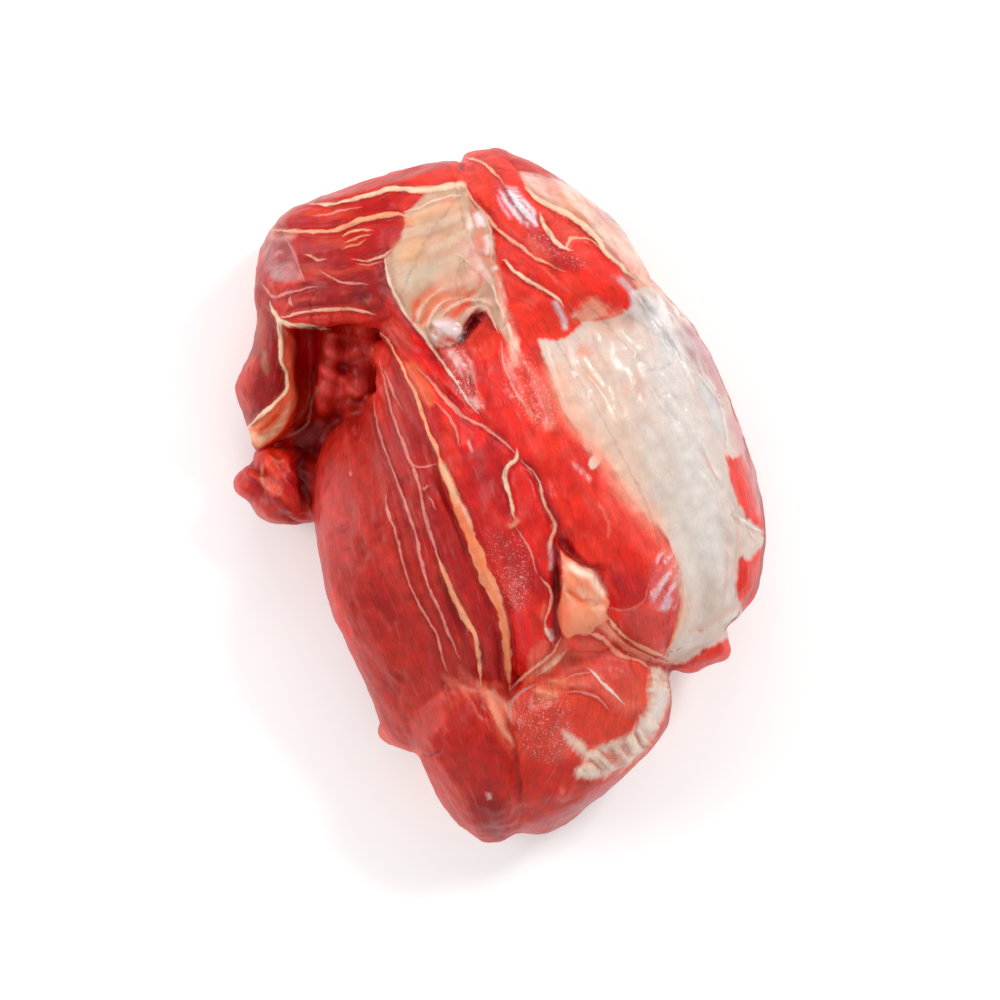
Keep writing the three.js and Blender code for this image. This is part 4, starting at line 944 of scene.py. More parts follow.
    "mainGapShade": ((176, 24, 22), 1.4, 0.7, [469, 372, 472, 384, 476, 394]),
    "silverOutside": ((246, 136, 114), 3.4, 0.55, [554, 396, 566, 420, 584, 442, 600, 456, 614, 480,
        632, 504, 652, 528, 668, 552, 678, 580, 682, 600]),
    "stripOrangeLow": ((240, 118, 80), 1.8, 0.7, [486, 575, 498, 604, 505, 630, 506, 660, 508, 684]),
    # Painted highlight streaks on the crown's pale patch, and the dark gaps between them.
    "crownGlare": ((248, 238, 244), 1.4, 0.8, [508, 186, 515, 199, 525, 211, 533, 221]),
    "crownGlareLeft": ((240, 216, 226), 1, 0.8, [498, 188, 506, 202, 516, 214, 524, 226]),
    "crownGap": ((120, 28, 44), 0.9, 0.9, [503, 185, 511, 200, 520, 213, 528, 225]),
    "crownGapRight": ((170, 90, 110), 0.8, 0.7, [514, 190, 523, 203, 532, 214]),
    "rimLine": ((220, 70, 42), 1.1, 0.8, [252, 431, 262, 429, 272, 421, 279, 412]),
    "rimCream": ((248, 196, 160), 1.6, 0.75, [252, 438, 264, 438, 277, 428, 286, 413, 291, 398]),
    "rimShade": ((180, 60, 40), 1.2, 0.6, [294, 374, 297, 392, 296, 406, 288, 422]),
    # More painted highlight streaks on the crown's pale patch.
    "crownGlareEdge": ((242, 226, 234), 1.2, 0.8, [512, 185, 521, 198, 531, 209, 537, 221]),
    "crownGlarePinkOne": ((234, 176, 194), 0.8, 0.75, [497, 195, 503, 208, 512, 220]),
    "crownGlarePinkTwo": ((230, 204, 216), 0.8, 0.8, [501, 190, 509, 205, 520, 221]),
    "crownGlareLow": ((244, 232, 238), 1.1, 0.8, [527, 212, 533, 221, 537, 228]),
}

# Deep places: depth at the middle and width of the soft edge in mm, how much painted shade fills them, and
# outline.
holes = {
    "tendonHole": (6, 1.6, 0.9, [462, 334, 466, 324, 472, 316, 480, 312, 485, 314, 482, 322, 475, 329,
        466, 340, 460, 345, 457, 341]),
    "archPit": (0.9, 1.8, 0.4, [358, 298, 364, 294, 368, 300, 364, 306, 358, 304]),
    "innerHollow": (1.4, 2.2, 0.35, [338, 366, 348, 357, 362, 355, 366, 360, 354, 368, 342, 373]),
    "slenderPin": (0.8, 0.8, 0.5, [498, 494, 501, 494, 502, 499, 499, 500]),
}

# Round swellings: x, y, half the width and half the height in mm before the turn, the turn in
# degrees, and the lift in mm.
lumps = {
    "lobeTop": (276, 462, 5, 4, 0, 3),
    "lobeTip": (246, 488, 4, 5, 0, 2),
    "lobeLow": (268, 506, 5, 4, 20, 2.2),
    "lobeMiddle": (286, 486, 5, 5, 0, 2.4),
    "lobeBack": (300, 502, 3, 4, 0, 1.6),
    "innerRidge": (331, 344, 2.4, 6, 0, 2),
    "innerLobe": (326, 386, 3.4, 9, 8, 2.6),
    "innerLow": (361, 388, 4.5, 4, 0, 2.4),
    "innerTop": (352, 350, 5, 3.4, -10, 2),
    "fatTop": (576, 578, 4.6, 6, -50, 1.6),
    "fatLow": (582, 618, 7, 5, 0, 2.6),
    "headFat": (548, 691, 5, 3, 20, 0.8),
    "headBlob": (561, 683, 1.6, 1.6, 0, 0.9),
    "headBump": (563, 793, 2.2, 2.2, 0, 1.4),
    "bead": (514, 524, 2, 2, 0, 1),
    "whiteDot": (425, 488, 1, 1, 0, 0.8),
    "crownLobe": (540, 316, 10, 6, -35, 1.8),
    "crownRight": (604, 282, 9, 5, -45, 1.2),
    "crownTip": (482, 184, 4, 10, 25, 1.2),
    "tendonLump": (447, 330, 5.5, 3, 15, 1.6),
    "tendonBulge": (440, 272, 14, 10, 0, 1.4),
    "tongue": (530, 630, 5, 11, 0, 1.4),
    "rootStreaks": (456, 370, 3, 8, 35, 1.4),
    "scrapDeep": (746, 580, 2.4, 4, 0, 1.2),
    "scrapEnd": (722, 650, 2.6, 2.6, 0, 1.4),
    "lobeOne": (266, 460, 4, 3, 40, 1.8),
    "lobeTwo": (250, 482, 4, 3, -30, 1.6),
    "lobeThree": (282, 505, 4.5, 3, 20, 1.6),
    "lobeFour": (288, 470, 3.5, 4.5, 10, 1.2),
}

# Wrinkled places: the way the wrinkles run, in degrees clockwise from the picture's right, their
# spacing and lift in mm, the tint and how much of it on the crests and in the valleys, and outline.
wrinkles = {
    # The pale crests here are painted highlight streaks.
    "crownPatch": (55, 1.5, 0.5, ((238, 214, 224), 0.9), ((204, 90, 100), 0.7), [496, 181, 508, 185,
        519, 193, 527, 202, 539, 209, 541, 219, 536, 228, 528, 228, 519, 221, 508, 214, 501, 204,
        495, 193]),
    "crownPatchLow": (50, 2.2, 0.3, ((244, 120, 104), 0.5), ((190, 34, 30), 0.3), [524, 236, 545, 240,
        560, 262, 572, 290, 556, 284, 534, 262]),
    # Painted highlight streaks on the crests.
    "broadHighlight": (-58, 1.5, 0.4, ((244, 206, 214), 0.9), ((226, 66, 72), 0.3), [650, 566, 660, 550,
        676, 556, 686, 580, 680, 604, 666, 612, 650, 604]),
    # The pale crests here are painted wet highlights.
    "root": (60, 1.9, 0.6, ((244, 176, 172), 0.8), ((206, 40, 40), 0.4), [440, 350, 456, 348, 472, 362,
        478, 390, 482, 410, 468, 400, 454, 382, 444, 366]),
    "headFat": (52, 1.9, 0.9, ((244, 222, 204), 0.6), ((212, 104, 82), 0.7), [580, 778, 574, 774, 586, 761,
        600, 748, 622, 742, 640, 726, 654, 738, 640, 756, 622, 768, 606, 775]),
    "headFatRight": (8, 1.7, 0.6, ((232, 222, 212), 0.6), ((214, 140, 118), 0.45), [648, 672, 664, 672,
        672, 686, 662, 716, 652, 738, 638, 728, 644, 706]),
    "headFatArm": (30, 2.2, 0.5, ((244, 200, 172), 0.6), ((216, 96, 78), 0.7), [562, 731, 574, 736,
        590, 752, 600, 764, 584, 770, 578, 752]),
    # The pale crests are partly a painted highlight, and the grey-pink valleys painted shade between the
    # wrinkles.
    "silverTop": (56, 1.8, 0.6, ((244, 240, 238), 0.7), ((196, 166, 164), 0.75), [636, 294, 664, 296,
        700, 330, 718, 372, 704, 380, 676, 352, 650, 330]),
    "silverMiddle": (54, 2, 0.45, ((240, 234, 230), 0.6), ((204, 184, 174), 0.6), [646, 372, 668, 372,
        700, 420, 726, 492, 710, 488, 676, 448]),
    "silverLow": (-30, 3, 0.4, ((238, 226, 220), 0.5), ((226, 176, 160), 0.5), [690, 628, 740, 600,
        742, 622, 716, 642, 694, 654, 680, 656]),
    "silverLeft": (64, 2.2, 0.22, ((244, 218, 204), 0.4), ((226, 164, 140), 0.4), [552, 352, 600, 324,
        640, 318, 650, 372, 636, 420, 596, 420, 570, 390]),
    "tendon": (-25, 4.6, 0.25, ((238, 206, 182), 0.35), ((228, 172, 140), 0.4), [392, 262, 410, 216,
        450, 204, 474, 220, 480, 280, 440, 300, 410, 306, 396, 290]),
    "tendonLump": (30, 2, 0.5, ((250, 240, 242), 0.7), ((220, 110, 104), 0.6), [432, 322, 448, 318,
        464, 326, 460, 344, 440, 346, 430, 336]),
    "tendonBand": (76, 1.9, 0.35, ((248, 212, 194), 0.6), ((238, 104, 84), 0.5), [494, 272, 504, 272,
        512, 318, 520, 346, 514, 362, 504, 336, 498, 304]),
    "middleTop": (66, 2.2, 0.4, ((250, 136, 122), 0.5), ((214, 44, 40), 0.4), [502, 350, 520, 350, 546, 384,
        558, 424, 540, 430, 512, 396]),
    "farBand": (46, 2.6, 0.3, ((244, 214, 200), 0.4), ((232, 160, 138), 0.45), [519, 172, 540, 176,
        575, 187, 605, 212, 645, 255, 680, 305, 640, 284, 600, 240, 560, 206, 530, 192]),
    "belly": (74, 5.5, 0.25, ((208, 82, 80), 0.2), ((176, 44, 44), 0.3), [314, 430, 366, 410, 400, 500,
        420, 580, 452, 690, 420, 740, 384, 720, 330, 590]),
    # The dark valleys are painted shade in the lobe's folds.
    "lobe": (40, 3.4, 1.3, ((236, 92, 76), 0.4), ((150, 20, 20), 0.5), [262, 447, 290, 444, 309, 470,
        310, 515, 290, 524, 262, 520, 238, 490, 250, 466]),
    "inner": (40, 4.4, 0.7, ((236, 90, 86), 0.3), ((160, 30, 32), 0.4), [322, 334, 368, 344, 378, 390,
        350, 402, 322, 408]),
    "fatLump": (60, 3.2, 0.35, ((252, 216, 188), 0.3), ((240, 140, 104), 0.4), [562, 556, 592, 572,
        608, 604, 600, 624, 570, 634, 560, 610]),
    "shoulder": (38, 1.9, 0.4, ((242, 164, 136), 0.6), ((206, 56, 44), 0.4), [598, 616, 640, 648, 676, 660,
        660, 668, 620, 652, 594, 636]),
    "panelEnd": (60, 2.4, 0.35, ((240, 128, 108), 0.4), ((190, 46, 44), 0.3), [440, 672, 486, 684, 508, 700,
        506, 740, 490, 720, 462, 700, 440, 700]),
    "rightHead": (40, 3.6, 0.3, ((232, 110, 96), 0.3), ((206, 60, 52), 0.3), [566, 680, 600, 660, 640, 680,
        640, 716, 600, 740, 566, 724]),
    "tendonSwirl": (-48, 2.6, 0.5, ((244, 196, 176), 0.6), ((238, 118, 86), 0.75), [408, 300, 440, 282,
        480, 290, 496, 306, 478, 306, 456, 308, 444, 320, 428, 332, 414, 322]),
    # The pale crests here are painted wet highlights.
    "tendonRightSide": (66, 2.2, 0.6, ((248, 232, 228), 0.7), ((238, 130, 112), 0.6), [470, 200, 486, 222,
        494, 250, 496, 282, 480, 276, 468, 250, 466, 222]),
    "silverBroad": (62, 4, 0.2, ((236, 230, 226), 0.35), ((208, 190, 180), 0.4), [600, 420, 660, 430,
        700, 500, 732, 520, 734, 600, 700, 620, 690, 560, 640, 490]),
    "seamFat": (60, 1.9, 0.6, ((240, 160, 132), 0.7), ((206, 60, 50), 0.7), [480, 690, 510, 692, 514, 754,
        500, 746, 486, 720]),
    "headFatTop": (20, 1.8, 0.8, ((240, 160, 132), 0.7), ((206, 76, 60), 0.6), [532, 692, 545, 680,
        562, 676, 568, 688, 554, 704, 538, 708]),
    "middleRight": (62, 3.2, 0.3, ((240, 96, 86), 0.3), ((206, 34, 30), 0.3), [520, 440, 556, 430, 590, 480,
        600, 540, 576, 540, 546, 480]),
    "broad": (60, 4, 0.25, ((240, 84, 76), 0.25), ((196, 36, 32), 0.3), [600, 470, 640, 510, 664, 560,
        650, 610, 612, 596, 576, 540, 590, 500]),
    "arch": (-8, 3.2, 0.3, ((222, 84, 72), 0.3), ((168, 28, 26), 0.4), [300, 204, 400, 190, 396, 212,
        345, 228, 300, 230, 284, 240, 262, 280, 290, 310, 372, 308, 384, 270, 352, 262, 300, 262,
        270, 230]),
    "panel": (68, 2.6, 0.25, ((206, 80, 76), 0.3), ((160, 26, 26), 0.35), [376, 352, 392, 360, 430, 445,
        470, 540, 500, 610, 502, 684, 480, 684, 448, 628, 420, 552, 397, 475, 375, 420]),
    "main": (62, 3.4, 0.25, ((232, 76, 68), 0.3), ((184, 22, 22), 0.35), [380, 326, 440, 356, 515, 450,
        510, 500, 540, 580, 545, 640, 512, 690, 476, 544, 434, 440, 394, 352]),
    "leftHead": (60, 4.4, 0.4, ((214, 84, 78), 0.3), ((168, 40, 38), 0.4), [430, 745, 455, 705, 500, 700,
        512, 750, 522, 830, 490, 845, 450, 810]),
}

# Places with a broken, glistening surface, where pale flecks are also painted on as glints: the height in
# mm of its small bumps, and outline.
glints = {
    "middle": (0.35, [500, 350, 524, 350, 548, 384, 562, 420, 540, 430, 510, 396]),
    "slenderLow": (0.5, [504, 572, 524, 566, 530, 590, 524, 610, 508, 606]),
    "rightHead": (0.3, [514, 700, 560, 690, 574, 712, 566, 760, 530, 758, 514, 730]),
    "crownPatch": (0.12, [496, 181, 527, 200, 541, 219, 533, 230, 505, 212]),
    "crownDark": (0.25, [520, 232, 545, 230, 575, 250, 592, 268, 570, 268, 540, 252]),
    "broadHighlight": (0.3, [652, 562, 672, 556, 684, 580, 676, 608, 654, 606]),
    "root": (0.4, [436, 346, 462, 346, 474, 380, 486, 412, 462, 402, 446, 372]),
    "silver": (0.28, [562, 344, 630, 330, 646, 380, 640, 420, 600, 410, 574, 380]),
    "silverRight": (0.3, [640, 300, 676, 330, 700, 400, 716, 470, 690, 450, 660, 390]),
    "fatRight": (0.5, [586, 756, 640, 726, 654, 690, 668, 690, 650, 740, 600, 778]),
    "tendonLump": (0.4, [430, 322, 462, 320, 466, 344, 436, 346]),
    "mainLow": (0.22, [484, 530, 520, 535, 532, 570, 528, 610, 504, 606, 490, 560]),
}

# Lines that the muscle fibres run along: the reach in mm of the muscle to both sides, and line.
fibres = {
    "arch": (26, [520, 176, 462, 196, 420, 212, 380, 234, 330, 252, 290, 258, 262, 290, 250, 360]),
    "flap": (9, [272, 290, 272, 370, 240, 450]),
    "inner": (9, [326, 300, 345, 370, 345, 420]),
    "lobe": (11, [320, 420, 272, 470, 250, 540]),
    "belly": (19, [336, 360, 338, 405, 340, 480, 352, 560, 384, 640, 420, 720, 462, 800, 500, 880]),
    "panel": (11, [366, 310, 378, 352, 392, 410, 420, 495, 450, 590, 480, 680, 500, 740]),
    "main": (11, [370, 300, 402, 350, 444, 420, 480, 500, 508, 570, 528, 670, 536, 720]),
    "tendon": (15, [470, 160, 462, 188, 446, 230, 438, 280, 448, 340, 460, 370]),
    "crown": (13, [450, 120, 474, 158, 506, 214, 548, 262, 600, 312, 650, 360]),
    "far": (10, [480, 150, 530, 180, 590, 215, 650, 285, 690, 330, 730, 380]),
    "middle": (12, [470, 280, 492, 330, 520, 390, 552, 450, 578, 530, 590, 600]),
    "slender": (7, [508, 420, 514, 452, 524, 500, 544, 580, 540, 660, 536, 700]),
    "broad": (14, [520, 330, 560, 400, 600, 480, 632, 550, 650, 650, 660, 720]),
    "silver": (24, [560, 270, 600, 330, 650, 400, 700, 500, 708, 600, 690, 700]),
    "rightHead": (24, [580, 600, 590, 650, 600, 700, 570, 770, 535, 830, 500, 880]),
    "leftHead": (14, [460, 640, 470, 690, 480, 760, 500, 860]),
}


# How far round each kind of mark the points are worked out, in pixels of the picture.
aroundPx = {"seam": 40, "crease": 30, "hole": 20, "wrinkle": 9, "seamTint": 20, "sheet": 27, "glint": 12,
            "patch": 12, "stroke": 8}

# A seam's ridge and the groove on each side of it, as shares of its width and in mm, and how
# sharply its step rises and how far it runs, in mm.
seamShape = {"ridge": 0.6, "side": 0.7, "gap": 0.5, "groove": 0.9, "sharp": 0.7, "run": 6}


def upward(normals):
    return ease(normals[:, 2], -0.3, 0.05)


def widthAlong(wide, share):
    return np.interp(share, [0, 0.5, 1], wide)


def lumpShape(seen, x, y, halfWidth, halfHeight, turn, lift):
    away = (seen - (x, y)) / pxPerMm
    along, across = turned(away[:, 0], away[:, 1], turn)
    far = np.hypot(along / halfWidth, across / halfHeight)
    return lift * np.exp(-0.9 * far ** 2.6)


def fibresAt(seen):
    # How far along and across its own muscle each place is, in mm, and which muscle it is in.
    found = np.zeros((len(seen), 3))
    best = np.full(len(seen), 1e9)
    for i, (reach, numbers) in enumerate(fibres.values()):
        line = smoothLine(numbers)
        away, share = fromLine(seen, line)
        length = np.hypot(*np.diff(line, axis=0).T).sum() / pxPerMm
        away /= pxPerMm
        closer = np.abs(away) / reach < best
        best[closer] = np.abs(away[closer]) / reach
        found[closer] = np.column_stack([share * length, away, np.full(len(seen), 13 * i)])[closer]
    return found


def wrinkleAt(seen, points, turn, every, outline):
    # Which points lie in a wrinkled place, how far in, and the wave from -1 in a valley to 1 on a crest.
    near, inside = withinOutline(seen, outline, aroundPx["wrinkle"])
    along, across = turned(*(seen[near].T / pxPerMm), turn)
    across = across + 0.7 * every * cloud(points[near], 4 * every * mm, 16)
    places = np.column_stack([along, across, np.zeros(len(near))])
    wave = 1.5 * cloud(places, (4.5 * every, 0.7 * every, 1), 17)
    return near, ease(inside, -0.6, 1.6), np.clip(wave, -1, 1)


def reliefOf(points, normals):
    seen = inPicture(points)
    up = upward(normals)
    uneven = cloud(points, 4 * mm, 11)
    rise = np.zeros(len(points))
    for _, wide, lift, groove, step, line in seams.values():
        near, away, share = besideLine(seen, line, aroundPx["seam"])
        away = away + 0.25 * uneven[near]
        wide = widthAlong(wide, share)
        shape = lift * bell(away, seamShape["ridge"] * wide)
        beside = np.abs(away) - seamShape["side"] * wide - seamShape["gap"]
        shape -= groove * bell(beside, seamShape["groove"])
        climb = 0.5 + 0.5 * np.tanh(away / seamShape["sharp"])
        shape += step * climb * np.exp(-np.abs(away) / seamShape["run"])
        rise[near] += shape * within(share) * up[near]
    for wide, deep, _, line in creases.values():
        near, away, share = besideLine(seen, line, aroundPx["crease"])
        away = away + 0.3 * uneven[near]
        rise[near] -= deep * bell(away, wide) * within(share, 0.2) * up[near]
    for lump in lumps.values():
        rise += lumpShape(seen, *lump) * up
    for turn, every, lift, _, _, outline in wrinkles.values():
        near, inside, wave = wrinkleAt(seen, points, turn, every, outline)
        rise[near] += lift * wave * inside * up[near]
    for deep, soft, _, outline in holes.values():
        near, depth = withinOutline(seen, outline, aroundPx["hole"])
        rise[near] -= deep * ease(depth, -soft * 0.5, soft) * up[near]
    return rise


# The sides and the underside, which the picture doesn't show, in long bundles like the rest.
hidden = {
    "count": 60,
    "cell": np.array([15, 70, 13]) * mm,
    "bend": 5 * mm,
    "groove": 1.2,
    "wide": 1.6,
    "tints": ((206, 132, 122), (184, 62, 58), (158, 40, 40)),
    "upTo": (0.3, 0.65, 1.0),  # the share of the bundles that each tint ends at
    "fat": ("peach", 0.7, 0.7),  # the line between bundles: tint, width in mm, and how much
}


def bundleEdges(points):
    # Distance in mm to the nearest edge between two bundles, and which bundle it is.
    draw = np.random.default_rng(seed)
    low, high = points.min(0), points.max(0)
    hearts = draw.uniform(low, high, (hidden["count"], 3))
    bent = points + np.column_stack([cloud(points, 24 * mm, k) for k in (1, 2, 3)]) * hidden["bend"]
    first = np.full(len(points), 1e9)
    second = np.full(len(points), 1e9)
    which = np.zeros(len(points), int)
    for i, heart in enumerate(hearts):
        d = np.linalg.norm((bent - heart) / hidden["cell"], axis=1)
        nearer = d < first
        second = np.where(nearer, first, np.minimum(second, d))
        which[nearer] = i
        first = np.where(nearer, d, first)
    return (second - first) / 2 * hidden["cell"][0] / mm, which


# Size and height in mm of the unevenness everywhere, and size along and across the fibres and
# height of the strands on the top. A little above the floor the relief sets in.
skin = {
    "swells": ((5, 0.35), (2.2, 0.17)),
    "strands": (((16, 2.6, 1), 0.24), ((9, 1.5, 1), 0.12)),
    "setIn": 3 * mm,
}


def shapeMeat(thing):
    points, normals = pointsOf(thing), normalsOf(thing)
    up = upward(normals)
    rise = reliefOf(points, normals)
    edge, _ = bundleEdges(points)
    away = (1 - up) * ease(points[:, 2], 0.5 * mm, 4 * mm)
    rise -= away * hidden["groove"] * bell(edge, hidden["wide"])
    rise += sum(height * cloud(points, size * mm, 4 + i) for i, (size, height) in enumerate(skin["swells"]))
    along = fibresAt(inPicture(points)) + 0.8 * cloud(points, 7 * mm, 12)[:, None]
    strands = sum(height * cloud(along, size, 13 + i) for i, (size, height) in enumerate(skin["strands"]))
    rise += up * strands
    rise *= ease(points[:, 2], 0.0, skin["setIn"])
    setPoints(thing, points + normals * rise[:, None] * mm)
    restOnFloor(thing)


# How much of the fine mesh stays where the surface faces down and where it faces sideways.
thinning = {"down": (-1.1, -0.3, 0.1), "side": (-0.3, 0.3, 0.4)}


def collapse(thing, which, ratio):
    # Takes triangles away only where the points named are.
    group = thing.vertex_groups.new(name="thin")
    group.add(which.tolist(), 1.0, "REPLACE")
    apply(thing, "DECIMATE", decimate_type="COLLAPSE", ratio=ratio, vertex_group="thin",
          use_collapse_triangulate=True)
    thing.vertex_groups.clear()


def thinOut(thing):
    for low, high, keep in thinning.values():
        facing = normalsOf(thing)[:, 2]
        which = np.where((facing > low) & (facing <= high))[0]
        collapse(thing, which, 1 - (1 - keep) * len(which) / len(facing))
    everywhere = np.arange(len(thing.data.vertices))
    collapse(thing, everywhere, min(1, meshing["triangles"] / len(thing.data.polygons)))


thinOut(meat)
shapeMeat(meat)
print("meat shaped:", len(meat.data.polygons), "triangles")


def addValues(thing, name, kind, field, values):
    made = thing.data.attributes.new(name, kind, "POINT")
    made.data.foreach_set(field, values.astype(np.float32).ravel())


def addVectors(thing, name, *columns):
    addValues(thing, name, "FLOAT_VECTOR", "vector", np.column_stack(columns))


def addColours(thing, name, values):
    full = np.column_stack([np.clip(values, 0.001, 1), np.ones(len(values))])
    addValues(thing, name, "FLOAT_COLOR", "color", full)


# The wet film reflects the white room, so the colour under it is that much darker.
wetFilm = np.array([0.015, 0.022, 0.028])
seamLayers = 3
apartPx = 30  # seams farther apart than this may share a layer
farFromSeam = 9.0  # in mm, where a layer has no seam
noSheet = -9.0  # in mm, where no sheet lies


def linear(rgb):
    c = np.asarray(rgb, float) / 255
    return np.where(c < 0.04045, c / 12.92, ((c + 0.055) / 1.055) ** 2.4)


def tintOf(tint):
    return linear(tints[tint] if isinstance(tint, str) else tint) - wetFilm


def towards(colour, which, tint, share):
    colour[which] += (tintOf(tint) - colour[which]) * share[:, None]


def paintFlesh(seen, blotch):
    flesh = np.tile(tintOf("red"), (len(seen), 1))
    for tint, soft, much, outline in patches.values():
        near, depth = withinOutline(seen, outline, aroundPx["patch"] + pxPerMm * soft)
        depth = depth + 0.5 * blotch[near]
        towards(flesh, near, tint, much * ease(depth, -soft / 2, soft / 2))
    # Painted shade in the creases.
    for wide, _, dark, line in creases.values():
        near, away, share = besideLine(seen, line, aroundPx["crease"])
        away = away + 0.4 * blotch[near]
        towards(flesh, near, "paintedShade", dark * bell(away, wide) * within(share, 0.2))
    return flesh


# A seam starts and ends narrow, and a painted shade lies along a grooved seam, off its edge by this much,
# in mm.
seamPaint = {"narrow": 0.3, "taper": 0.12, "shade": 0.35, "off": 0.4, "wide": 0.7}


def layApart(layers, line):
    # The layer whose seams are farthest from this one, so that their distances don't run together.
    def gap(layer):
        return min([apartPx] + [np.abs(fromLine(line[1:-1:3], other)[0]).min() for other in layer["lines"]])

    layer = max(layers, key=gap)
    layer["lines"].append(line)
    return layer


def paintSeams(seen, flesh):
    layers = [{"side": np.full(len(seen), farFromSeam), "wide": np.full(len(seen), 1.0),
               "tint": np.tile(tintOf("cream"), (len(seen), 1)), "lines": []} for _ in range(seamLayers)]
    for tint, wide, _, groove, _, line in seams.values():
        layer = layApart(layers, smoothLine(line))
        near, away, share = besideLine(seen, line, aroundPx["seamTint"])
        narrow = seamPaint["narrow"]
        wide = widthAlong(wide, share) * (narrow + (1 - narrow) * within(share, seamPaint["taper"]))
        outside = np.abs(away) - wide / 2
        keep = outside < np.abs(layer["side"][near]) - layer["wide"][near] / 2
        shade = seamPaint["shade"] * bell(outside - seamPaint["off"], seamPaint["wide"]) * within(share)
        # Painted shade beside a grooved seam.
        towards(flesh, near, "deep", shade * (groove > 0.3))
        near = near[keep]
        layer["side"][near] = away[keep]
        layer["wide"][near] = wide[keep]
        layer["tint"][near] = tintOf(tint)
    return layers


def paintSheets(seen):
    deepest = np.full(len(seen), noSheet)
    softness = np.full(len(seen), 1.0)
    colour = np.tile(tintOf("cream"), (len(seen), 1))
    for tint, soft, outline in sheets.values():
        near, depth = withinOutline(seen, outline, aroundPx["sheet"])
        keep = depth > deepest[near]
        near = near[keep]
        deepest[near] = depth[keep]
        softness[near] = soft
        colour[near] = tintOf(tint)
    return deepest, softness, colour


def paintOver(points, seen, blotch, flesh, sheetTint, layers):
    for turn, every, _, crest, valley, outline in wrinkles.values():
        near, inside, wave = wrinkleAt(seen, points, turn, every, outline)
        for side, (tint, much) in ((1, crest), (-1, valley)):
            share = much * inside * ease(side * wave, 0.05, 0.7)
            towards(flesh, near, tint, share)
            towards(sheetTint, near, tint, share)
    for tint, wide, much, line in strokes.values():
        near, away, share = besideLine(seen, line, aroundPx["stroke"] + 4 * wide)
        away = np.abs(away + 0.12 * wide * blotch[near])
        much = much * np.exp(-(away / (0.55 * wide)) ** 2.5) * within(share, 0.15)
        towards(flesh, near, tint, much)
        towards(sheetTint, near, tint, much)
        for layer in layers:
            towards(layer["tint"], near, tint, 0.8 * much)
    # Painted shade in the deep places, over both the flesh and the sheets.
    for _, soft, dark, outline in holes.values():
        near, depth = withinOutline(seen, outline, aroundPx["hole"])
        dark = dark * ease(depth, -0.5 * soft, soft)
        towards(flesh, near, "paintedShade", dark)
        towards(sheetTint, near, "paintedShade", dark)


def paintHidden(points, flesh, up):
    edge, which = bundleEdges(points)
    kind = np.random.default_rng(seed + 9).uniform(0, 1, hidden["count"])[which]
    each = np.array([tintOf(tint) for tint in hidden["tints"]])
    sideTint = each[np.searchsorted(hidden["upTo"], kind, side="right")]
    tint, wide, much = hidden["fat"]
    sideTint = sideTint + (tintOf(tint) - sideTint) * (much * bell(edge, wide))[:, None]
    flesh = flesh * up[:, None] + sideTint * (1 - up[:, None])
    flesh *= (1 + 0.05 * cloud(points, 6 * mm, 8) + 0.05 * cloud(points, 2 * mm, 10))[:, None]
    flesh *= 1 + np.array([0.02, 0.3, 0.25]) * cloud(points, 8 * mm, 15)[:, None]
    return flesh


# How much each place glistens: it sets the small bumps, the coat and the painted glints.
def gritAndGlintOf(seen, blotch):
    gritAndGlint = np.zeros(len(seen))
    for height, outline in glints.values():
        near, depth = withinOutline(seen, outline, aroundPx["glint"])
        gritAndGlint[near] = np.maximum(gritAndGlint[near], height * ease(depth + blotch[near], -1.5, 2.0))
    return gritAndGlint


# On the steep right side the picture's colours stop higher up, or they would run down it in stripes.
steepSide = {"from": (35 * mm, 60 * mm), "ragged": 0.16, "low": 0.34, "high": 0.25}


def paintMeat(thing):
    points, normals = pointsOf(thing), normalsOf(thing)
    seen = inPicture(points)
    blotch = 0.5 * cloud(points, 9 * mm, 6) + 0.45 * cloud(points, 2.6 * mm, 7)
    steep = ease(points[:, 0], *steepSide["from"])
    up = ease(normals[:, 2] + steepSide["ragged"] * steep * blotch,
              steepSide["low"] * steep - 0.3, steepSide["high"] * steep + 0.05)
    flesh = paintFlesh(seen, blotch)
    layers = paintSeams(seen, flesh)
    sheetDepth, sheetSoft, sheetTint = paintSheets(seen)
    paintOver(points, seen, blotch, flesh, sheetTint, layers)
    flesh = paintHidden(points, flesh, up)
    sheetDepth = np.where(up > 0.5, sheetDepth, noSheet)

    addColours(thing, "flesh", flesh)
    for i, layer in enumerate(layers):
        wide = np.where(up > 0.5, layer["wide"], 0.01)
        addVectors(thing, f"seam{i}", layer["side"], np.abs(layer["side"]), wide)
        addColours(thing, f"seamTint{i}", layer["tint"])
    addColours(thing, "sheetTint", sheetTint)
    addVectors(thing, "cover", sheetDepth, ease(normals[:, 2], 0.2, 0.55), sheetSoft)
    addVectors(thing, "fibre", fibresAt(seen))
    addValues(thing, "gritAndGlint", "FLOAT", "value", gritAndGlintOf(seen, blotch) * up)


paintMeat(meat)
print("meat painted")


# Finishes

def put(tree, kind, place, **settings):
    made = tree.nodes.new(kind)
    made.location = place
    for name, value in settings.items():
        setattr(made, name, value)
    return made


def feed(tree, node, socket, value):
    if hasattr(value, "is_output"):
        tree.links.new(value, node.inputs[socket])
    else:
        node.inputs[socket].default_value = value


def sums(tree, kind, place, *values):
    made = put(tree, "ShaderNodeMath", place, operation=kind)
    for i, value in enumerate(values):
        feed(tree, made, i, value)
    return made.outputs[0]


def span(tree, place, value, low, high, start=0.0, end=1.0, kind="SMOOTHSTEP"):
    made = put(tree, "ShaderNodeMapRange", place, interpolation_type=kind)
    names = ("Value", "From Min", "From Max", "To Min", "To Max")
    for name, number in zip(names, (value, low, high, start, end)):
        feed(tree, made, name, number)
    return made.outputs[0]


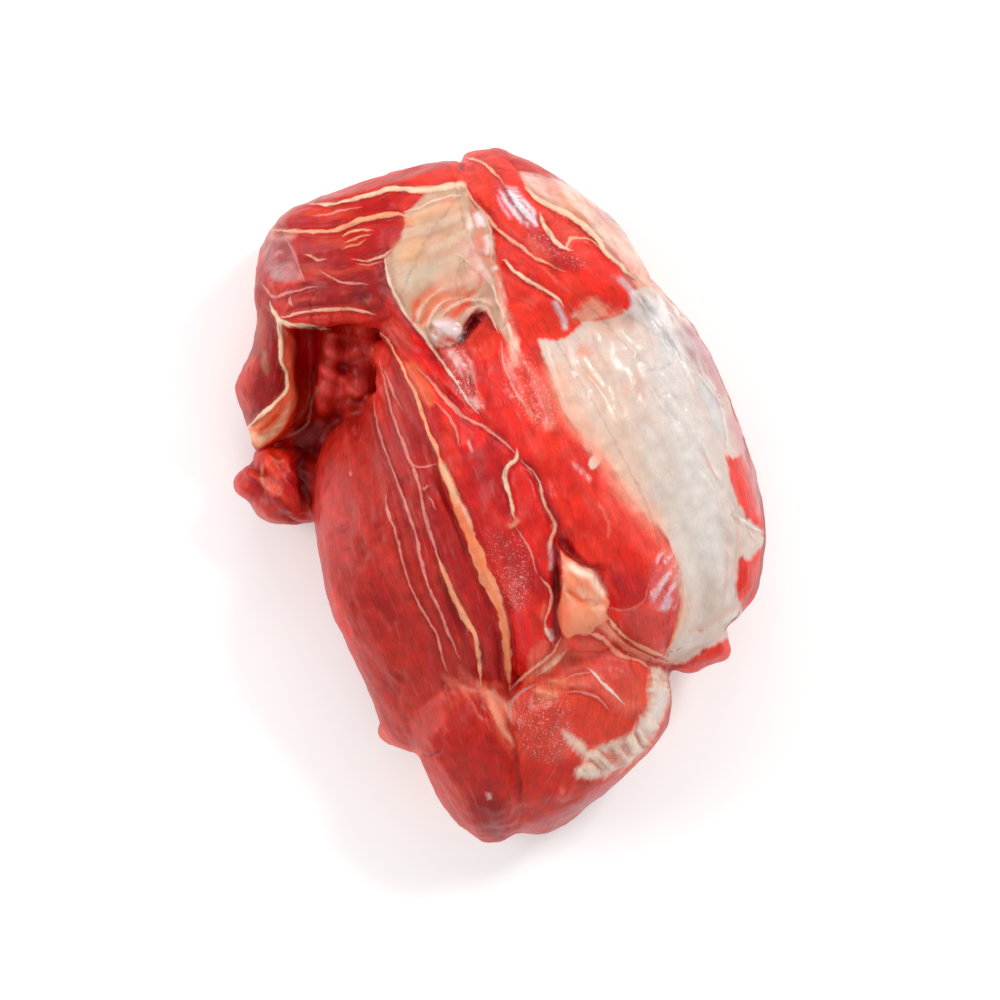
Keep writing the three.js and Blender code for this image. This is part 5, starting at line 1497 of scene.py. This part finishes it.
def blendColour(tree, place, share, a, b):
    made = put(tree, "ShaderNodeMix", place, data_type="RGBA")
    for socket, value in ((0, share), (6, a), (7, b)):
        feed(tree, made, socket, value)
    return made.outputs[2]


def noise(tree, place, vector, scale, detail=3.0, rough=0.55):
    made = put(tree, "ShaderNodeTexNoise", place)
    for name, value in (("Vector", vector), ("Scale", scale), ("Detail", detail), ("Roughness", rough)):
        feed(tree, made, name, value)
    return made.outputs[0]


def stretched(tree, place, vector, by):
    made = put(tree, "ShaderNodeVectorMath", place, operation="MULTIPLY")
    feed(tree, made, 0, vector)
    feed(tree, made, 1, by)
    return made.outputs[0]


def dimmed(tree, place, colour, by):
    made = put(tree, "ShaderNodeVectorMath", place, operation="SCALE")
    feed(tree, made, 0, colour)
    feed(tree, made, "Scale", by)
    return made.outputs[0]


def attribute(tree, place, name, output="Vector"):
    return put(tree, "ShaderNodeAttribute", place, attribute_name=name).outputs[output]


def apart(tree, place, vector):
    made = put(tree, "ShaderNodeSeparateXYZ", place)
    feed(tree, made, 0, vector)
    return made.outputs


# Sizes of the grain are lumps per mm along and across the fibres, and per metre elsewhere.
grain = {
    "fine": (0.25, 2.2, 1.0),
    "bundle": (0.05, 0.55, 1.0),
    "vein": (0.1, 1.0, 1.0),
    "side": (800, 90, 800),
    "speckle": 1400.0,
    "mottle": 230.0,
    "ragged": 260.0,
    "slow": 150.0,
    "bump": 0.85,
    "bumpHeight": 0.4 * mm,
}

# The lowest and the highest value of what the grain changes, and the plain values of the shader.
finish = {
    "dim": (0.84, 1.12),
    "band": (0.93, 1.05),
    "blot": (0.86, 1.1),
    "sheetTone": (0.93, 1.04),
    "thin": (0.84, 1.0),
    "veinColour": (0.7, 0.24, 0.2, 1),
    "veins": (0.0, 0.14),
    # The colour and the share of the pale flecks painted on as glints.
    "paintedGlintColour": (0.95, 0.5, 0.42, 1),
    "paintedGlints": (0.0, 1.3),
    "wander": (-0.4, 0.4),
    "strand": (-0.35, 0.35),
    "swell": (0.3, 0.65),
    "worn": (0.65, 1.0),
    "coat": (0.08, 0.9),
    "rough": (0.38, 0.52),
    "plain": {
        "Subsurface Weight": 0.1,
        "Subsurface Radius": (1.0, 0.3, 0.2),
        "Subsurface Scale": 2.0 * mm,
        "Coat Roughness": 0.2,
        "Specular IOR Level": 0.35,
    },
}


def drawSeams(tree, lines, tint, wander, swell, worn, colour):
    side, distance, wide = apart(tree, (-1600, 100), attribute(tree, (-1800, 100), lines))
    away = sums(tree, "ABSOLUTE", (-900, 200), sums(tree, "ADD", (-1000, 200), side, wander))
    half = sums(tree, "MULTIPLY", (-900, 50), wide, swell)
    onSeam = span(tree, (-600, 150), sums(tree, "SUBTRACT", (-750, 150), away, half), -0.28, 0.28, 1.0, 0.0)
    nearSeam = span(tree, (-600, 0), sums(tree, "SUBTRACT", (-750, 0), distance, half), 0.6, 0.95, 1.0, 0.0)
    share = sums(tree, "MULTIPLY", (-450, 100), sums(tree, "MULTIPLY", (-500, 100), onSeam, nearSeam), worn)
    return blendColour(tree, (-150, 400), share, colour, attribute(tree, (-600, 300), tint, "Color"))


def meatFinish():
    made = bpy.data.materials.new("rawMeat")
    made.use_nodes = True
    tree = made.node_tree
    shader = tree.nodes["Principled BSDF"]
    flesh = attribute(tree, (-1800, 400), "flesh", "Color")
    depth, topShare, soft = apart(tree, (-1600, -100), attribute(tree, (-1800, -100), "cover"))
    fibre = attribute(tree, (-1800, -400), "fibre")
    gritAndGlint = attribute(tree, (-1800, -900), "gritAndGlint", "Fac")
    place = put(tree, "ShaderNodeTexCoord", (-1800, -700)).outputs["Object"]

    def drawnOut(name, vector, row, detail, rough):
        longer = stretched(tree, (-1500, row), vector, grain[name])
        return noise(tree, (-1300, row), longer, 1.0, detail, rough)

    fineSide = drawnOut("side", place, -700, 3.0, 0.6)
    fineTop = drawnOut("fine", fibre, -400, 3.0, 0.6)
    fineGrain = put(tree, "ShaderNodeMix", (-1100, -500), data_type="FLOAT")
    onTop = span(tree, (-1300, -550), topShare, 0.4, 0.6)
    for socket, value in ((0, onTop), (2, fineSide), (3, fineTop)):
        feed(tree, fineGrain, socket, value)
    fineGrain = fineGrain.outputs[0]
    bundle = drawnOut("bundle", fibre, -250, 2.0, 0.5)
    vein = drawnOut("vein", fibre, -100, 2.0, 0.6)
    fine = noise(tree, (-1300, -900), place, grain["speckle"])
    mottle = noise(tree, (-1300, -1100), place, grain["mottle"], 4.0, 0.6)
    ragged = noise(tree, (-1300, -1300), place, grain["ragged"], 2.0, 0.5)
    slow = noise(tree, (-1300, -1500), place, grain["slow"], 2.0)

    dim = span(tree, (-900, -300), fineGrain, 0.3, 0.7, *finish["dim"])
    band = span(tree, (-900, -400), bundle, 0.3, 0.7, *finish["band"])
    blot = span(tree, (-900, -500), mottle, 0.3, 0.7, *finish["blot"])
    shade = sums(tree, "MULTIPLY", (-700, -400), sums(tree, "MULTIPLY", (-800, -400), dim, blot), band)
    shaded = dimmed(tree, (-500, 400), flesh, shade)
    veins = span(tree, (-700, 500), vein, 0.58, 0.72, *finish["veins"])
    colour = blendColour(tree, (-400, 500), veins, shaded, finish["veinColour"])

    wander = span(tree, (-1100, 200), ragged, 0.2, 0.8, *finish["wander"], "LINEAR")
    swell = span(tree, (-1100, 50), slow, 0.3, 0.7, *finish["swell"])
    worn = span(tree, (-600, -50), mottle, 0.3, 0.6, *finish["worn"])

    strand = span(tree, (-1200, -50), bundle, 0.25, 0.75, *finish["strand"], "LINEAR")
    spread = sums(tree, "MULTIPLY", (-1000, -50), sums(tree, "ADD", (-1100, -50), wander, strand), soft)
    inner = sums(tree, "MULTIPLY", (-900, -120), soft, 0.6)
    outer = sums(tree, "MULTIPLY", (-900, -180), soft, -0.6)
    onSheet = span(tree, (-750, -50), sums(tree, "ADD", (-900, -50), depth, spread), outer, inner)
    thin = span(tree, (-750, -200), fineGrain, 0.3, 0.7, *finish["thin"])
    sheetShare = sums(tree, "MULTIPLY", (-600, -100), onSheet, thin)
    sheetDim = span(tree, (-600, -350), mottle, 0.3, 0.7, *finish["sheetTone"])
    sheetTone = dimmed(tree, (-450, -250), attribute(tree, (-600, -250), "sheetTint", "Color"), sheetDim)
    colour = blendColour(tree, (-300, 400), sheetShare, colour, sheetTone)
    for i in range(seamLayers):
        colour = drawSeams(tree, f"seam{i}", f"seamTint{i}", wander, swell, worn, colour)
    # Pale flecks painted where the surface glistens stand in for glints: painted highlights.
    paintedGlint = span(tree, (-300, 200), fine, 0.56, 0.66, *finish["paintedGlints"])
    paintedGlintShare = sums(tree, "MULTIPLY", (-150, 200), paintedGlint, gritAndGlint)
    feed(tree, shader, "Base Color", blendColour(tree, (0, 400), paintedGlintShare, colour, finish["paintedGlintColour"]))
    feed(tree, shader, "Roughness", span(tree, (-300, 0), mottle, 0.3, 0.7, *finish["rough"]))
    feed(tree, shader, "Coat Weight", span(tree, (-150, -100), gritAndGlint, 0.0, 0.5, *finish["coat"]))

    blunt = sums(tree, "MULTIPLY", (-650, -650), fineGrain, 0.5)
    sharp = sums(tree, "MULTIPLY", (-650, -800), fine, sums(tree, "ADD", (-800, -850), gritAndGlint, 0.22))
    bump = put(tree, "ShaderNodeBump", (-300, -600))
    feed(tree, bump, "Strength", grain["bump"])
    feed(tree, bump, "Distance", grain["bumpHeight"])
    feed(tree, bump, "Height", sums(tree, "ADD", (-500, -700), blunt, sharp))
    feed(tree, shader, "Normal", bump.outputs[0])
    for name, value in finish["plain"].items():
        shader.inputs[name].default_value = value
    return made


meat.name = "rawShank"
for face in meat.data.polygons:
    face.use_smooth = True
meat.data.materials.clear()
meat.data.materials.append(meatFinish())
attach(meat, "root")
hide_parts("shank")
print("meat finished")


# Floor and light

studio = {
    "floor": 6.0,
    "floorLook": {
        "Base Color": (0.96, 0.96, 0.96, 1),
        "Roughness": 0.9,
        "Specular IOR Level": 0.1,
        "Emission Color": (1, 1, 1, 1),
        "Emission Strength": 0.18,
    },
    "world": 0.46,
    "aim": (0, 0, 0.04),
    # place, size and power of each lamp, in metres and watts
    "lamps": {
        "keySoftbox": ((0.75, 0.65, 1.05), 0.35, 8.5),
        "leftSoftbox": ((-1.2, 0.1, 0.65), 0.9, 9.0),
        "nearSoftbox": ((0.1, -1.1, 0.9), 0.9, 2.5),
        "farSoftbox": ((-0.1, 1.1, 0.6), 0.9, 4.5),
    },
}


def layFloor():
    half = studio["floor"] / 2
    corners = [(-half, -half, 0), (half, -half, 0), (half, half, 0), (-half, half, 0)]
    floor = newObject("floor", corners, [(0, 1, 2, 3)])
    paper = bpy.data.materials.new("floorPaper")
    paper.use_nodes = True
    shader = paper.node_tree.nodes["Principled BSDF"]
    for name, value in studio["floorLook"].items():
        shader.inputs[name].default_value = value
    floor.data.materials.append(paper)


def hangLamps():
    for name, (place, size, watts) in studio["lamps"].items():
        data = bpy.data.lights.new(name, "AREA")
        data.shape = "SQUARE"
        data.size = size
        data.energy = watts
        lamp = bpy.data.objects.new(name, data)
        lamp.location = place
        lamp.rotation_mode = "QUATERNION"
        lamp.rotation_quaternion = (Vector(studio["aim"]) - Vector(place)).to_track_quat("-Z", "Y")
        bpy.context.scene.collection.objects.link(lamp)


def lightRoom():
    world = bpy.data.worlds.new("room")
    world.use_nodes = True
    back = world.node_tree.nodes["Background"]
    back.inputs["Color"].default_value = (1, 1, 1, 1)
    back.inputs["Strength"].default_value = studio["world"]
    bpy.context.scene.world = world
    bpy.context.scene.view_settings.view_transform = "Standard"


layFloor()
hangLamps()
lightRoom()
print("floor and lamps placed")
